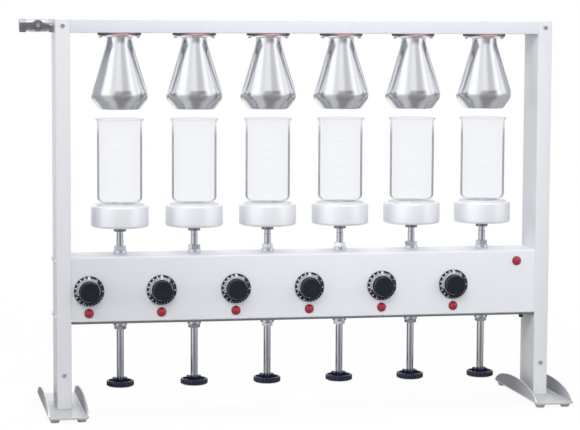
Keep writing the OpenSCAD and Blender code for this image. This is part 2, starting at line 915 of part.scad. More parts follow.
module valve_body() {
    color(chrome)
        difference() {
            union() {
                translate([valve_x - valve_l, 0, valve_z])
                    rotate([0, 90, 0]) {
                        rotate([0, 0, 30])
                            cylinder(h = valve_hex_l, r = valve_hex_r, $fn = 6);
                        cylinder(h = valve_l, d = valve_d);
                        translate([0, 0, valve_l - valve_root_l])
                            rotate([0, 0, 30])
                                cylinder(h = valve_root_l, r = valve_hex_r, $fn = 6);
                        translate([0, 0, valve_l - eps])
                            cylinder(h = post_wall + fit + nipple_in + eps, d = nipple_d);
                    }
                translate([valve_mid, 0, valve_z])
                    to_front()
                        cylinder(h = stem_boss_y, r = stem_boss_r);
            }
            translate([valve_x - valve_l - eps, 0, valve_z])
                rotate([0, 90, 0]) {
                    cylinder(h = inlet_l + eps, r = inlet_r);
                    cylinder(h = valve_l + post_w + 2 * eps, r = water_way_r);
                }
            translate([valve_mid, 0, valve_z])
                to_front()
                    translate([0, 0, stem_boss_y - stem_in - run])
                        cylinder(h = stem_in + run + eps, r = stem_r + run);
        }
}

module valve_lever() {
    half = lever_w / 2;
    outline = [
        [-lever_l, half - lever_taper],
        [0, half],
        [lever_waist, half - lever_taper],
        [lever_tail, 0],
        [lever_tail, -half / 2],
        [lever_waist, -half],
        [-lever_waist, -half],
        [-2 * lever_waist, lever_taper - half / 2],
        [-lever_l, lever_taper - half / 2]
    ];
    color(slate)
        translate([valve_mid, 0, valve_z])
            to_front() {
                translate([0, 0, lever_y])
                    linear_extrude(lever_t)
                        polygon(outline);
                translate([0, 0, stem_boss_y - stem_in])
                    cylinder(h = stem_in + lever_gap + lever_t, r = stem_r);
                translate([0, 0, lever_y + lever_t / 2])
                    difference() {
                        cylinder(h = lever_t / 2 + lever_hub_h, r = half - lever_taper);
                        translate([0, 0, lever_t / 2 + lever_hub_h / 2])
                            cylinder(h = lever_hub_h, r = stem_r * socket_share, $fn = 6);
                    }
            }
}

module cable_gland() {
    color(black)
        translate([gland_x, gland_y, cover_z])
            difference() {
                union() {
                    translate([0, 0, -gland_h])
                        cylinder(h = gland_h / 2, d1 = gland_shank_d, d2 = gland_d);
                    translate([0, 0, -gland_h / 2])
                        cylinder(h = gland_h / 2, d = gland_d);
                    cylinder(h = cover_t + cover_gap, d = gland_shank_d);
                }
                translate([0, 0, -gland_h - eps])
                    cylinder(h = gland_h + cover_t + cover_gap + 2 * eps, d = gland_bore_d);
            }
}

module heater(i) {
    cavity_d = heater_d - 2 * heater_wall;
    color(satin)
        translate([station_x(i), 0, heater_z])
            difference() {
                union() {
                    rotate_extrude()
                        turned_profile(heater_d / 2, heater_h, heater_base_r, heater_rim_r);
                    translate([0, 0, -boss_h])
                        cylinder(h = boss_h + eps, d = boss_d);
                }
                translate([0, 0, heater_base_r])
                    cylinder(h = heater_h - heater_base_r - heater_rim_r, d = cavity_d);
                translate([0, 0, heater_h / 2])
                    cylinder(h = heater_h, d = core_d + 2 * fit);
                translate([0, 0, -boss_h - eps])
                    cylinder(h = seat_h + eps, d = neck_d + 2 * run);
            }
}

module hot_plate(i) {
    color(plate_grey)
        translate([station_x(i), 0, heater_top]) {
            cylinder(h = plate_step, d = plate_d);
            translate([0, 0, -core_h])
                cylinder(h = core_h + plate_step / 2, d = core_d);
        }
}

module lift_screw(i) {
    color(chrome)
        translate([station_x(i), 0, 0]) {
            translate([0, 0, screw_end])
                cylinder(h = neck_z - screw_end, d = screw_d);
            translate([0, 0, neck_z - eps])
                cylinder(h = boss_z + seat_h - neck_z + eps, d = neck_d);
        }
}

module handwheel(i) {
    r = wheel_d / 2;
    dish_r = r - wheel_rim;
    hub_r = hub_d / 2;
    rib_l = dish_r + eps - lobe_circle_r;
    hub_h = wheel_h + hub_rise - wheel_bevel;
    color(black)
        translate([station_x(i), 0, wheel_z])
            difference() {
                union() {
                    difference() {
                        union() {
                            cylinder(h = wheel_bevel, r1 = r - 2 * wheel_bevel, r2 = r);
                            translate([0, 0, wheel_bevel])
                                cylinder(h = wheel_h - wheel_bevel, r = r);
                        }
                        translate([0, 0, wheel_floor])
                            cylinder(h = wheel_h, r = dish_r);
                    }
                    translate([0, 0, wheel_bevel])
                        cylinder(h = hub_h, r = hub_r);
                    for (k = [0 : ribs - 1])
                        rotate([0, 0, (k + 0.5) * 360 / ribs])
                            translate([lobe_circle_r, 0, wheel_bevel]) {
                                cylinder(h = hub_h + lobe_rise, d = lobe_d);
                                translate([0, -rib_t / 2, 0])
                                    cube([rib_l, rib_t, wheel_h - 2 * wheel_bevel]);
                            }
                }
                translate([0, 0, wheel_floor])
                    cylinder(h = wheel_h + hub_rise, d = screw_d + 2 * run);
                for (k = [0 : notches - 1])
                    rotate([0, 0, (k + 0.5) * 360 / notches])
                        translate([r + notch_r - notch_in, 0, -eps])
                            cylinder(h = wheel_h + 2 * eps, r = notch_r);
            }
}

module dial(i) {
    color(black)
        translate([dial_x(i), skirt_y, dial_axis_z])
            to_front() {
                difference() {
                    union() {
                        cylinder(h = skirt_t - skirt_bevel, d = skirt_d);
                        translate([0, 0, skirt_t - skirt_bevel])
                            cylinder(h = skirt_bevel, d1 = skirt_d, d2 = skirt_d - 3 * skirt_bevel);
                        rotate_extrude()
                            turned_profile(cap_d / 2, skirt_t + cap_l, eps / 2, cap_r);
                    }
                    translate([0, 0, -eps])
                        cylinder(h = nut_t + eps, d = recess_d);
                }
                translate([0, 0, -dial_gap - spindle_in])
                    cylinder(h = dial_gap + spindle_in + skirt_t, d = spindle_d);
            }
}

// Half profile of a beaker's wall, standing on the axis
module beaker_profile() {
    r = beaker_d / 2;
    rim_r = rim_d / 2;
    in = r - glass_t;
    t = glass_t;
    lip = t / 2;
    flare_r = 1.5 * flare_h;
    polygon(concat(
        [[0, 0]],
        corner([0, 0], [r, 0], [r, beaker_h], beaker_base_r),
        corner([r, 0], [r, beaker_h - flare_h], [rim_r, beaker_h - lip], flare_r / 2),
        [[rim_r, beaker_h - lip], [rim_r - lip, beaker_h], [rim_r - t, beaker_h - lip / 2]],
        corner([rim_r - t, beaker_h], [in, beaker_h - flare_h + lip], [in, 0], flare_r / 2),
        corner([in, beaker_h], [in, t], [0, t], beaker_base_r - t),
        [[0, t]]
    ));
}

module beaker(i) {
    color(glass)
        translate([station_x(i), 0, plate_top])
            rotate_extrude()
                beaker_profile();
}

left_post();
right_post();
top_beam();
left_foot();
right_foot();
rubber_feet();
control_box();
bottom_cover();
condenser_gaskets();
condenser_screws();
upper_bushes();
lower_bushes();
pilot_lamps();
energy_regulators();
frame_screws();
valve_body();
valve_lever();
cable_gland();
for (i = place) {
    condenser(i);
    heater(i);
    hot_plate(i);
    lift_screw(i);
    handwheel(i);
    dial(i);
    beaker(i);
}
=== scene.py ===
import json
import math
import bmesh
import bpy
from mathutils import Matrix, Vector


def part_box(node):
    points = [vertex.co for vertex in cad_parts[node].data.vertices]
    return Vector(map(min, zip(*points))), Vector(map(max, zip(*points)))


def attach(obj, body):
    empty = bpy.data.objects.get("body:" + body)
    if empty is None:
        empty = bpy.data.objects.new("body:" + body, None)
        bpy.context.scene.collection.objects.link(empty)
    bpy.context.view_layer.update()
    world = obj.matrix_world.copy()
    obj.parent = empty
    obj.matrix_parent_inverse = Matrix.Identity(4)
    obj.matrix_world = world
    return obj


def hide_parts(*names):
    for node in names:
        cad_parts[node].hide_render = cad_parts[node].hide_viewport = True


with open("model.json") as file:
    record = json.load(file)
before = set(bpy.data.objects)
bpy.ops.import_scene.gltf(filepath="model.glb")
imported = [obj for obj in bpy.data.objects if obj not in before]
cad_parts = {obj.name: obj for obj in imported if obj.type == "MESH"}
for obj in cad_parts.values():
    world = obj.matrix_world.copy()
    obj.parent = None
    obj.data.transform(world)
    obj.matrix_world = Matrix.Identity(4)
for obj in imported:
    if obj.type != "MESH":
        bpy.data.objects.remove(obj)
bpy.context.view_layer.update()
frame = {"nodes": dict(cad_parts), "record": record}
mm = 0.001
stationCount = 6
stations = range(1, stationCount + 1)
white = (1.0, 1.0, 1.0, 1.0)


# Node kit: a class for sums on sockets and one for building any node tree

class Wire:
    def __init__(self, kit, socket):
        self.kit = kit
        self.socket = socket


def summing(operation, swapped):
    def combine(a, b):
        return a.kit.sum(operation, b, a) if swapped else a.kit.sum(operation, a, b)
    return combine


for word, operation in {"add": "ADD", "sub": "SUBTRACT", "mul": "MULTIPLY", "truediv": "DIVIDE"}.items():
    setattr(Wire, f"__{word}__", summing(operation, False))
    setattr(Wire, f"__r{word}__", summing(operation, True))


class Kit:
    def __init__(self, tree):
        self.tree = tree

    def node(self, kind, sockets=None, out=0, **settings):
        made = self.tree.nodes.new(kind)
        for key, value in settings.items():
            setattr(made, key, value)
        for key, value in (sockets or {}).items():
            self.feed(self.find(made.inputs, key), value)
        return Wire(self, self.find(made.outputs, out)) if len(made.outputs) else None

    def find(self, sockets, key):
        if isinstance(key, int):
            return sockets[key]
        for socket in sockets:
            if socket.identifier == key:
                return socket
        return sockets[key]

    def feed(self, socket, value):
        for one in value if isinstance(value, list) else [value]:
            if isinstance(one, Wire):
                self.tree.links.new(one.socket, socket)
            else:
                socket.default_value = one

    def sum(self, operation, a, b=0.0):
        return self.node("ShaderNodeMath", {0: a, 1: b}, operation=operation)

    def clamp(self, value):
        return self.node("ShaderNodeClamp", {"Value": value})

    def larger(self, a, b):
        return self.sum("MAXIMUM", a, b)

    def vector(self, x, y, z):
        return self.node("ShaderNodeCombineXYZ", {"X": x, "Y": y, "Z": z})

    def parts(self, vector):
        split = self.tree.nodes.new("ShaderNodeSeparateXYZ")
        self.feed(split.inputs[0], vector)
        return [Wire(self, socket) for socket in split.outputs]

    def window(self, value, ends, below, above):
        # 1 between two ends, falling to 0 over an edge outside each
        low, high = ends
        return self.clamp((value - low) / below + 1.0) * self.clamp((high - value) / above + 1.0)

    def rays(self):
        # the rays from the camera, those that metal mirrors and those that went through glass
        path = self.tree.nodes.new("ShaderNodeLightPath")
        names = ("Is Camera Ray", "Is Glossy Ray", "Is Transmission Ray")
        return [Wire(self, path.outputs[name]) for name in names]


# Surface kit: a material whose parts are worked out from Object coordinates

class Finish(Kit):
    def __init__(self, name):
        self.material = bpy.data.materials.new(name)
        self.material.use_nodes = True
        super().__init__(self.material.node_tree)
        self.tree.nodes.clear()
        self.spot = self.node("ShaderNodeTexCoord", out="Object")

    def axis(self, letter):
        return self.parts(self.spot)["xyz".index(letter)]

    def noise(self, scale, detail=2.0, stretch=(1.0, 1.0, 1.0)):
        place = self.node("ShaderNodeMapping", {"Vector": self.spot, "Scale": stretch})
        return self.node("ShaderNodeTexNoise", {"Vector": place, "Scale": scale, "Detail": detail}, "Fac")

    def mix(self, a, b, factor):
        sockets = {"A_Color": a, "B_Color": b, "Factor_Float": factor}
        return self.node("ShaderNodeMix", sockets, "Result_Color", data_type="RGBA")

    def mottled(self, colour, tone, amount, about=1.0):
        return self.mix(shade(colour, about - amount), shade(colour, about + amount), tone)

    def vary(self, value, spread, pattern):
        # a value that a pattern moves by half a spread either way
        return value - spread / 2 + spread * pattern

    def bump(self, height, strength, distance=0.0002):
        return self.node("ShaderNodeBump", {"Height": height, "Strength": strength, "Distance": distance})

    def done(self, sockets):
        shader = self.node("ShaderNodeBsdfPrincipled", sockets)
        self.node("ShaderNodeOutputMaterial", {"Surface": shader})
        return self.material


def tint(red, green, blue):
    # sRGB levels of 0 to 255 as a linear colour
    levels = [v / 255.0 for v in (red, green, blue)]
    linear = [v / 12.92 if v <= 0.04045 else ((v + 0.055) / 1.055) ** 2.4 for v in levels]
    return (*linear, 1.0)


def shade(colour, factor):
    return (*(min(1.0, c * factor) for c in colour[:3]), 1.0)


# Mesh kit

def newMesh(name, bm, materials, sharpAngle=32):
    bmesh.ops.remove_doubles(bm, verts=bm.verts, dist=1e-6)
    bmesh.ops.recalc_face_normals(bm, faces=bm.faces)
    mesh = bpy.data.meshes.new(name)
    bm.to_mesh(mesh)
    bm.free()
    for material in materials:
        mesh.materials.append(material)
    mesh.shade_smooth()
    mesh.set_sharp_from_angle(angle=math.radians(sharpAngle))
    return mesh


def band(bm, near, far, materialIndex=0):
    # faces between two closed rows of points
    for k in range(len(near)):
        after = (k + 1) % len(near)
        face = bm.faces.new((near[k], near[after], far[after], far[k]))
        face.material_index = materialIndex


def bevelEdges(bm, edges, width, segments):
    bmesh.ops.bevel(bm, geom=edges, offset=width * mm, segments=segments, profile=0.5, affect="EDGES")


def turn(bm, rings, segments=96, materialIndex=0, closed=False):
    # turns rings, each (radius, height) in mm or a function of the angle, about Z
    rows = []
    for ring in rings:
        row = []
        for k in range(segments):
            angle = 2 * math.pi * k / segments
            radius, height = ring(angle) if callable(ring) else ring
            x, y = radius * mm * math.cos(angle), radius * mm * math.sin(angle)
            row.append(bm.verts.new((x, y, height * mm)))
        rows.append(row)
    for low, high in zip(rows, rows[1:] + rows[:1] if closed else rows[1:]):
        band(bm, low, high, materialIndex)
    return [v for row in rows for v in row]


def lathe(name, rings, materials, segments, sharpAngle=32):
    bm = bmesh.new()
    turn(bm, rings, segments)
    return newMesh(name, bm, materials, sharpAngle)


def prism(bm, rows, axis, bevel):
    # sides between two outlines that lie across an axis, closed at both, with the rims rounded
    band(bm, *rows)
    for row in rows:
        bm.faces.new(row)
    bmesh.ops.recalc_face_normals(bm, faces=bm.faces)
    rims = [e for e in bm.edges if abs(e.verts[0].co[axis] - e.verts[1].co[axis]) < 1e-6]
    bevelEdges(bm, rims, bevel, 2)


def block(bm, low, high, bevel=0.0, segments=3, materialIndex=0):
    # a box between two corners in metres with its edges rounded
    low, high = Vector(low), Vector(high)
    verts = bmesh.ops.create_cube(bm, size=1.0)["verts"]
    bmesh.ops.scale(bm, vec=high - low, verts=verts)
    bmesh.ops.translate(bm, vec=(high + low) / 2, verts=verts)
    for face in {f for v in verts for f in v.link_faces}:
        face.material_index = materialIndex
    if bevel:
        bevelEdges(bm, list(dict.fromkeys(e for v in verts for e in v.link_edges)), bevel, segments)


def placed(bm, verts, spot, angle=90, axis="X"):
    turned = Matrix.Rotation(math.radians(angle), 4, axis)
    bmesh.ops.transform(bm, matrix=Matrix.Translation(spot) @ turned, verts=verts)


def arcPoints(before, corner, after, radius, count=6):
    # points of the arc that rounds a corner of an outline
    point = Vector(corner)
    u, w = (Vector(before) - point).normalized(), (Vector(after) - point).normalized()
    half = math.acos(max(-1.0, min(1.0, u.dot(w)))) / 2
    centre = point + (u + w).normalized() * radius / math.sin(half)
    first, last = (point + way * radius / math.tan(half) - centre for way in (u, w))
    begin = math.atan2(first.y, first.x)
    sweep = math.remainder(math.atan2(last.y, last.x) - begin, 2 * math.pi)
    angles = (begin + sweep * k / count for k in range(count + 1))
    return [tuple(centre + radius * Vector((math.cos(t), math.sin(t)))) for t in angles]


def roundedPath(corners):
    # corners are (x, y) or (x, y, radius); the ends are kept as they are
    path = []
    for k, corner in enumerate(corners):
        if len(corner) == 3 and 0 < k < len(corners) - 1:
            path += arcPoints(corners[k - 1][:2], corner[:2], corners[k + 1][:2], corner[2])
        else:
            path.append(corner[:2])
    return path


def hexRadius(flats):
    return lambda angle: flats / 2 / math.cos(math.remainder(angle, math.radians(60)))


def box(node):
    return [Vector(corner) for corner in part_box(node)]


def middle(node):
    low, high = box(node)
    return (low + high) / 2


def lowZ(node):
    return box(node)[0].z


def highZ(node):
    return box(node)[1].z


def tallness(node):
    return (highZ(node) - lowZ(node)) / mm


stationX = {i: middle(f"lift_screw_{i}").x for i in stations}
dialX = {i: middle(f"dial_{i}").x for i in stations}


def piece(mesh, name, body, nodes, shift=(0.0, 0.0, 0.0)):
    # a copy of a mesh, set in its place, that stands for CAD nodes on a body
    data = mesh.copy()
    data.transform(Matrix.Translation(shift))
    made = bpy.data.objects.new(name, data)
    bpy.context.collection.objects.link(made)
    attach(made, body)
    if nodes:
        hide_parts(*nodes)
    return made


def eachStation(mesh, name, body, node, z):
    # a piece at every station, with the station's number in its names
    for i in stations:
        piece(mesh, f"{name}{i}", body.format(i), [f"{node}_{i}"], (stationX[i], 0.0, z))


# Growth kit: a Geometry Nodes tree with named inputs, made into a plain mesh

class Growth(Kit):
    def __init__(self, name):
        self.group = bpy.data.node_groups.new(name, "GeometryNodeTree")
        super().__init__(self.group)
        self.values = {}
        for way in ("INPUT", "OUTPUT"):
            self.group.interface.new_socket("Geometry", in_out=way, socket_type="NodeSocketGeometry")
        self.source = self.group.nodes.new("NodeGroupInput")
        self.target = self.group.nodes.new("NodeGroupOutput")
        self.points = Wire(self, self.source.outputs["Geometry"])

    def size(self, name, value, whole=False):
        kind = "NodeSocketInt" if whole else "NodeSocketFloat"
        socket = self.group.interface.new_socket(name, in_out="INPUT", socket_type=kind)
        self.values[socket.identifier] = value
        return Wire(self, self.source.outputs[name])

    def lengths(self, **values):
        return [self.size(name, value * mm) for name, value in values.items()]

    def cylinder(self, vertices, radius, depth):
        sockets = {"Vertices": vertices, "Radius": radius, "Depth": depth}
        return self.node("GeometryNodeMeshCylinder", sockets, "Mesh")

    def cone(self, vertices, low, high, depth, rows=1):
        sockets = {"Vertices": vertices, "Side Segments": rows, "Depth": depth,
                   "Radius Bottom": low, "Radius Top": high}
        return self.node("GeometryNodeMeshCone", sockets, "Mesh")

    def moved(self, shape, x, y, z):
        return self.node("GeometryNodeTransform", {"Geometry": shape, "Translation": self.vector(x, y, z)})

    def joined(self, shapes):
        return self.node("GeometryNodeJoinGeometry", {0: shapes})

    def index(self):
        return self.node("GeometryNodeInputIndex")

    def spots(self, count, position):
        return self.node("GeometryNodePoints", {"Count": count, "Position": position})

    def onCircle(self, radius, angle, z):
        return self.vector(radius * self.sum("COSINE", angle), radius * self.sum("SINE", angle), z)

    def copies(self, points, shape, rotation=(0.0, 0.0, 0.0)):
        sockets = {"Points": points, "Instance": shape, "Rotation": rotation}
        return self.node("GeometryNodeInstanceOnPoints", sockets)

    def grow(self, shape, material, places=((0.0, 0.0, 0.0),), aims=None, sharpAngle=35):
        realized = self.node("GeometryNodeRealizeInstances", {"Geometry": shape})
        smooth = self.node("GeometryNodeSetShadeSmooth", {"Geometry": realized})
        painted = self.node("GeometryNodeSetMaterial", {"Geometry": smooth, "Material": material})
        self.feed(self.target.inputs[0], painted)
        base = bpy.data.meshes.new("growthPoints")
        base.from_pydata([tuple(p) for p in places], [], [])
        if aims:
            layer = base.attributes.new("aim", "FLOAT_VECTOR", "POINT")
            for k, aim in enumerate(aims):
                layer.data[k].vector = aim
        holder = bpy.data.objects.new("growthHolder", base)
        bpy.context.collection.objects.link(holder)
        modifier = holder.modifiers.new("growth", "NODES")
        modifier.node_group = self.group
        for identifier, value in self.values.items():
            modifier[identifier] = value
        mesh = evaluated(holder)
        bpy.data.meshes.remove(base)
        mesh.set_sharp_from_angle(angle=math.radians(sharpAngle))
        return mesh


def evaluated(holder):
    # the plain mesh of a holder, which is removed
    bpy.context.view_layer.update()
    ready = holder.evaluated_get(bpy.context.evaluated_depsgraph_get())
    mesh = bpy.data.meshes.new_from_object(ready)
    bpy.data.objects.remove(holder)
    return mesh


# Camera

cameraSet = {
    "place": (-739.49, -3745.03, 699.60),  # mm
    "yaw": 11.0666,  # to the right, and the pitch down, in degrees
    "pitch": 5.2732,
    "roll": 0.26256,
    "focalPixels": 2098.22,
    "imageWidth": 580,
    "sensor": 36.0,
    "farthest": 200.0,
}


def makeCamera(s):
    turned = Matrix.Identity(4)
    for angle, axis in ((-s["yaw"], "Z"), (90.0 - s["pitch"], "X"), (s["roll"], "Z")):
        turned = turned @ Matrix.Rotation(math.radians(angle), 4, axis)
    data = bpy.data.cameras.new("photoCamera")
    data.sensor_width = s["sensor"]
    data.lens = s["focalPixels"] / s["imageWidth"] * s["sensor"]
    data.clip_end = s["farthest"]
    made = bpy.data.objects.new("photoCamera", data)
    made.matrix_world = Matrix.Translation(Vector(s["place"]) * mm) @ turned
    bpy.context.collection.objects.link(made)
    bpy.context.scene.camera = made


makeCamera(cameraSet)
bpy.context.scene.view_settings.view_transform = "Standard"
print("camera set")


# Studio: white sweep, soft lamps and grey cards that only reflections see

def card(side, height, level, edge=9, rise=None):
    # by angle from the front and by height, in degrees, with edges that fade
    return {"side": side, "height": height, "level": level, "edge": edge, "rise": rise or (edge, edge)}


studioSet = {
    "ambient": 0.54,
    "floorColour": (0.30, 0.30, 0.31, 1.0),
    "floorSeen": (0.97, 0.97, 0.98, 1.0),
    "floorNear": 0.92,
    "floorReach": 60.0,
    "fadeFrom": 0.6,
    "fadeTo": 1.6,
    "mirrored": 1.15,  # how bright the white sweep is in metal
    "cards": [
        card((-138, 138), (-95, -15), 0.60, rise=(9, 3)),
        card((-30, 48), (-95, -32), 0.43),
        card((-26, 44), (-24, -12), 0.55, 8, (6, 2)),
        card((-20, 38), (-6, 14), 0.48, 10, (2, 12)),
        card((-40, 38), (-11, 62), 0.82),
        card((-38, -28), (-11, 62), 0.88),
        card((10, 32), (-11, 62), 0.68),
        card((-138, -86), (-95, 62), 0.80),
        card((-101, -88), (-95, 62), 0.56, 4),
        card((-140, -126), (-95, 62), 0.58, 4),
        card((64, 72), (-95, 62), 0.76, 4),
        card((80, 140), (-95, 62), 0.86),
        card((92, 104), (-95, 62), 0.54, 4),
        card((126, 140), (-95, 62), 0.56, 4),
        card((-170, -92), (-13, -8), 0.34, 8, (3, 3)),
        card((-29, 8), (-13, -8), 0.55, 6, (3, 3)),
        card((78, 170), (-13, -8), 0.38, 8, (3, 3)),
        card((-190, 190), (62, 95), 2.0),  # a bright one overhead
    ],
    "lamps": [  # name, place, aim and size in metres, power in watts
        ("keyLamp", (-0.6, -2.1, 2.0), (0.0, 0.0, 0.5), (2.0, 1.0), 23.1),
        ("fillLamp", (2.6, -2.2, 1.0), (0.1, 0.0, 0.35), (1.2, 1.6), 10.8),
        ("topLamp", (0.0, 0.6, 2.6), (0.0, 0.0, 0.3), (2.4, 1.0), 24.3),
        ("nearLamp", (0.0, -1.2, 1.3), (0.0, 0.0, 0.68), (1.8, 0.4), 4.0),
        ("insideLamp", (0.05, -0.9, 0.45), (0.45, 0.0, 0.45), (0.4, 0.7), 1.8),
        ("sideLamp", (-4.5, -0.95, 0.9), (0.3, 0.0, 0.45), (1.2, 1.4), 27.0),
    ],
}


def makeWorld(s):
    world = bpy.data.worlds.new("studioWorld")
    world.use_nodes = True
    world.node_tree.nodes.clear()
    kit = Kit(world.node_tree)
    x, y, z = kit.parts(kit.node("ShaderNodeTexCoord", out="Generated"))
    side = kit.sum("ARCTAN2", x, y * -1.0) * math.degrees(1.0)
    height = kit.sum("ARCSINE", z) * math.degrees(1.0)
    level = 1.0
    for c in s["cards"]:
        across = kit.window(side, c["side"], c["edge"], c["edge"])
        cover = across * kit.window(height, c["height"], *c["rise"])
        level = level * (1.0 - cover * (1.0 - c["level"]))
    camera, glossy, through = kit.rays()
    level = level * (1.0 + glossy * (s["mirrored"] - 1.0))
    light, studio, sweep = (
        kit.node("ShaderNodeBackground", {"Color": white, "Strength": strength})
        for strength in (s["ambient"], level, 1.0)
    )
    both = kit.node("ShaderNodeMixShader", {0: kit.larger(glossy, through), 1: light, 2: studio})
    shown = kit.node("ShaderNodeMixShader", {0: camera, 1: both, 2: sweep})
    kit.node("ShaderNodeOutputWorld", {"Surface": shown})
    bpy.context.scene.world = world


def makeFloor(s):
    finish = Finish("studioFloor")
    x, y = finish.axis("x"), finish.axis("y")
    far = finish.sum("SQRT", x * x + y * y)
    fade = finish.clamp((far - s["fadeFrom"]) / (s["fadeTo"] - s["fadeFrom"]))
    camera, glossy, through = finish.rays()
    seen = finish.larger(camera, finish.larger(glossy, through))
    cover = seen * (s["floorNear"] + fade * (1.0 - s["floorNear"]))
    colour = finish.mix(s["floorColour"], s["floorSeen"], camera)
    matt = finish.node("ShaderNodeBsdfDiffuse", {"Color": colour})
    sweep = finish.node("ShaderNodeEmission", {"Color": white, "Strength": 1.0})
    both = finish.node("ShaderNodeMixShader", {0: cover, 1: matt, 2: sweep})
    finish.node("ShaderNodeOutputMaterial", {"Surface": both})
    r = s["floorReach"]
    mesh = bpy.data.meshes.new("studioFloor")
    mesh.from_pydata([(-r, -r, 0), (r, -r, 0), (r, r, 0), (-r, r, 0)], [], [(0, 1, 2, 3)])
    mesh.materials.append(finish.material)
    made = bpy.data.objects.new("studioFloor", mesh)
    made.visible_glossy = False  # reflections see the studio below the horizon too
    bpy.context.collection.objects.link(made)


def makeLamp(name, place, aim, size, power):
    data = bpy.data.lights.new(name, "AREA")
    data.shape = "RECTANGLE"
    data.size, data.size_y = size
    data.energy = power
    made = bpy.data.objects.new(name, data)
    facing = (Vector(aim) - Vector(place)).to_track_quat("-Z", "Y").to_matrix().to_4x4()
    made.matrix_world = Matrix.Translation(place) @ facing
    made.visible_camera = False
    made.visible_glossy = False  # reflections see the cards instead
    bpy.context.collection.objects.link(made)


makeWorld(studioSet)
makeFloor(studioSet)
for lamp in studioSet["lamps"]:
    makeLamp(*lamp)
print("studio set")


# Finishes

rowLength = 0.9  # m
turnedLines = (0.02, 0.02, 1.0)
sheetLines = (1.0, 0.02, 1.0)
evenGrain = (1.0, 1.0, 1.0)


def enamel(name, colour, roughness, paintedRowLight=(1.0, 1.0)):
    # clouds and faint streaks, and painted light and shade that change the tone from one end of the row to
    # the other, standing in for the uneven light along the row
    f = Finish(name)
    cloud, peel = f.noise(7.0), f.noise(900.0)
    streak = f.noise(60.0, stretch=(1.0, 1.0, 0.05))
    left, right = (f.mottled(colour, cloud * 0.6 + streak * 0.4, 0.03, share) for share in paintedRowLight)
    return f.done({
        "Base Color": f.mix(left, right, f.clamp(f.axis("x") / rowLength + 0.5)),
        "Roughness": f.vary(roughness, 0.10, cloud),
        "Coat Weight": 0.15,
        "Coat Roughness": 0.25,
        "Normal": f.bump(peel, 0.06, 0.0003),
    })


# the condensers below the shoulder: rougher, and darker by painted shade
dullAndShadedSet = {"top": 0.572, "fade": 0.008, "shade": 0.84, "rougher": 0.05}


def metal(name, colour, roughness, lines=0.0, scale=900.0, stretch=turnedLines, mottle=0.04, bare=1.0,
          dullAndShaded=None):
    f = Finish(name)
    grain = f.noise(scale, stretch=stretch)
    base = f.mottled(colour, f.noise(30.0, 3.0) * 0.5 + grain * 0.5, mottle)
    if dullAndShaded:  # below a height, such as the condensers' shoulder: rougher, and darker by painted shade
        below = f.clamp((dullAndShaded["top"] - f.axis("z")) / dullAndShaded["fade"])
        base = f.mix(base, shade(colour, dullAndShaded["shade"]), below)
        roughness = roughness + dullAndShaded["rougher"] * below
    sockets = {"Base Color": base, "Metallic": bare, "Roughness": roughness * f.vary(1.0, 0.3, grain)}
    if lines:
        sockets["Normal"] = f.bump(grain, lines)
    return f.done(sockets)


# painted shade: the wings' colour at the front and the darker colour they fall to at the back
wingSet = {"front": tint(204, 205, 209), "shadedRear": tint(128, 130, 137), "from": -0.11, "to": 0.01}


def wingSheet(name, s):
    # the upright sheets of the feet, with painted shade that makes them darker to the back
    f = Finish(name)
    grain = f.noise(700.0, stretch=sheetLines)
    run = f.clamp((f.axis("y") - s["from"]) / (s["to"] - s["from"]))
    back = run * f.vary(1.0, 0.16, f.noise(30.0, 3.0))
    return f.done({
        "Base Color": f.mix(s["front"], s["shadedRear"], f.clamp(back)),
        "Metallic": 0.5,
        "Roughness": f.vary(0.40, 0.08, grain),
        "Normal": f.bump(grain, 0.08),
    })


def moulded(name, colour, roughness, coat=0.0, grain=0.05, gloss=0.5):
    f = Finish(name)
    cloud = f.noise(55.0, 3.0)
    return f.done({
        "Specular IOR Level": gloss,
        "Base Color": f.mottled(colour, cloud, 0.11, 1.01),
        "Roughness": f.vary(roughness, 0.08, cloud),
        "Coat Weight": coat,
        "Coat Roughness": 0.08,
        "Normal": f.bump(f.noise(1500.0), grain),
    })


glassSet = {
    "clearLow": (0.60, 0.66, 0.84, 1), "clearHigh": (0.66, 0.72, 0.90, 1), "line": (0.04, 0.04, 0.05, 1),
    "outside": (0.65, 0.73), "inside": (0.82, 1.0), "lineEdge": 0.03,
    "lineTo": 0.010, "lineFade": 0.022, "foot": 0.002, "footFade": 0.009, "footLine": 0.3,
    "lip": 0.004, "lipLine": 0.3, "veil": 0.06, "lineAlpha": 0.58, "lipAlpha": 0.16,
}


def clearGlass(name, s, facing):
    # a faint veil, thin dark lines near the sides that are painted reflection, standing in for how the glass
    # bends and mirrors light at its edges, and a paler rim and base
    f = Finish(name)
    cloud = f.noise(18.0)
    turned = f.node("ShaderNodeLayerWeight", {"Blend": 0.5}, "Facing")
    z = f.axis("z")
    low, high = lowZ("beaker_1"), highZ("beaker_1")
    upright = s["lipLine"] + (1.0 - s["lipLine"]) * f.clamp((high - s["lineTo"] - z) / s["lineFade"])
    standing = s["footLine"] + (1.0 - s["footLine"]) * f.clamp((z - low - s["foot"]) / s["footFade"])
    line = f.window(turned, facing, s["lineEdge"], s["lineEdge"]) * upright * standing
    lip = f.clamp((z - high + s["lip"]) / s["lip"])
    return f.done({
        "Base Color": f.mix(f.mix(s["clearLow"], s["clearHigh"], cloud), s["line"], line),
        "Roughness": f.vary(0.04, 0.02, cloud),
        "IOR": 1.47,
        "Alpha": s["veil"] + line * s["lineAlpha"] + lip * s["lipAlpha"],
    })


gasketShadeSet = {"front": tint(220, 168, 170), "sides": tint(128, 120, 128), "from": 0.028, "fade": 0.009}


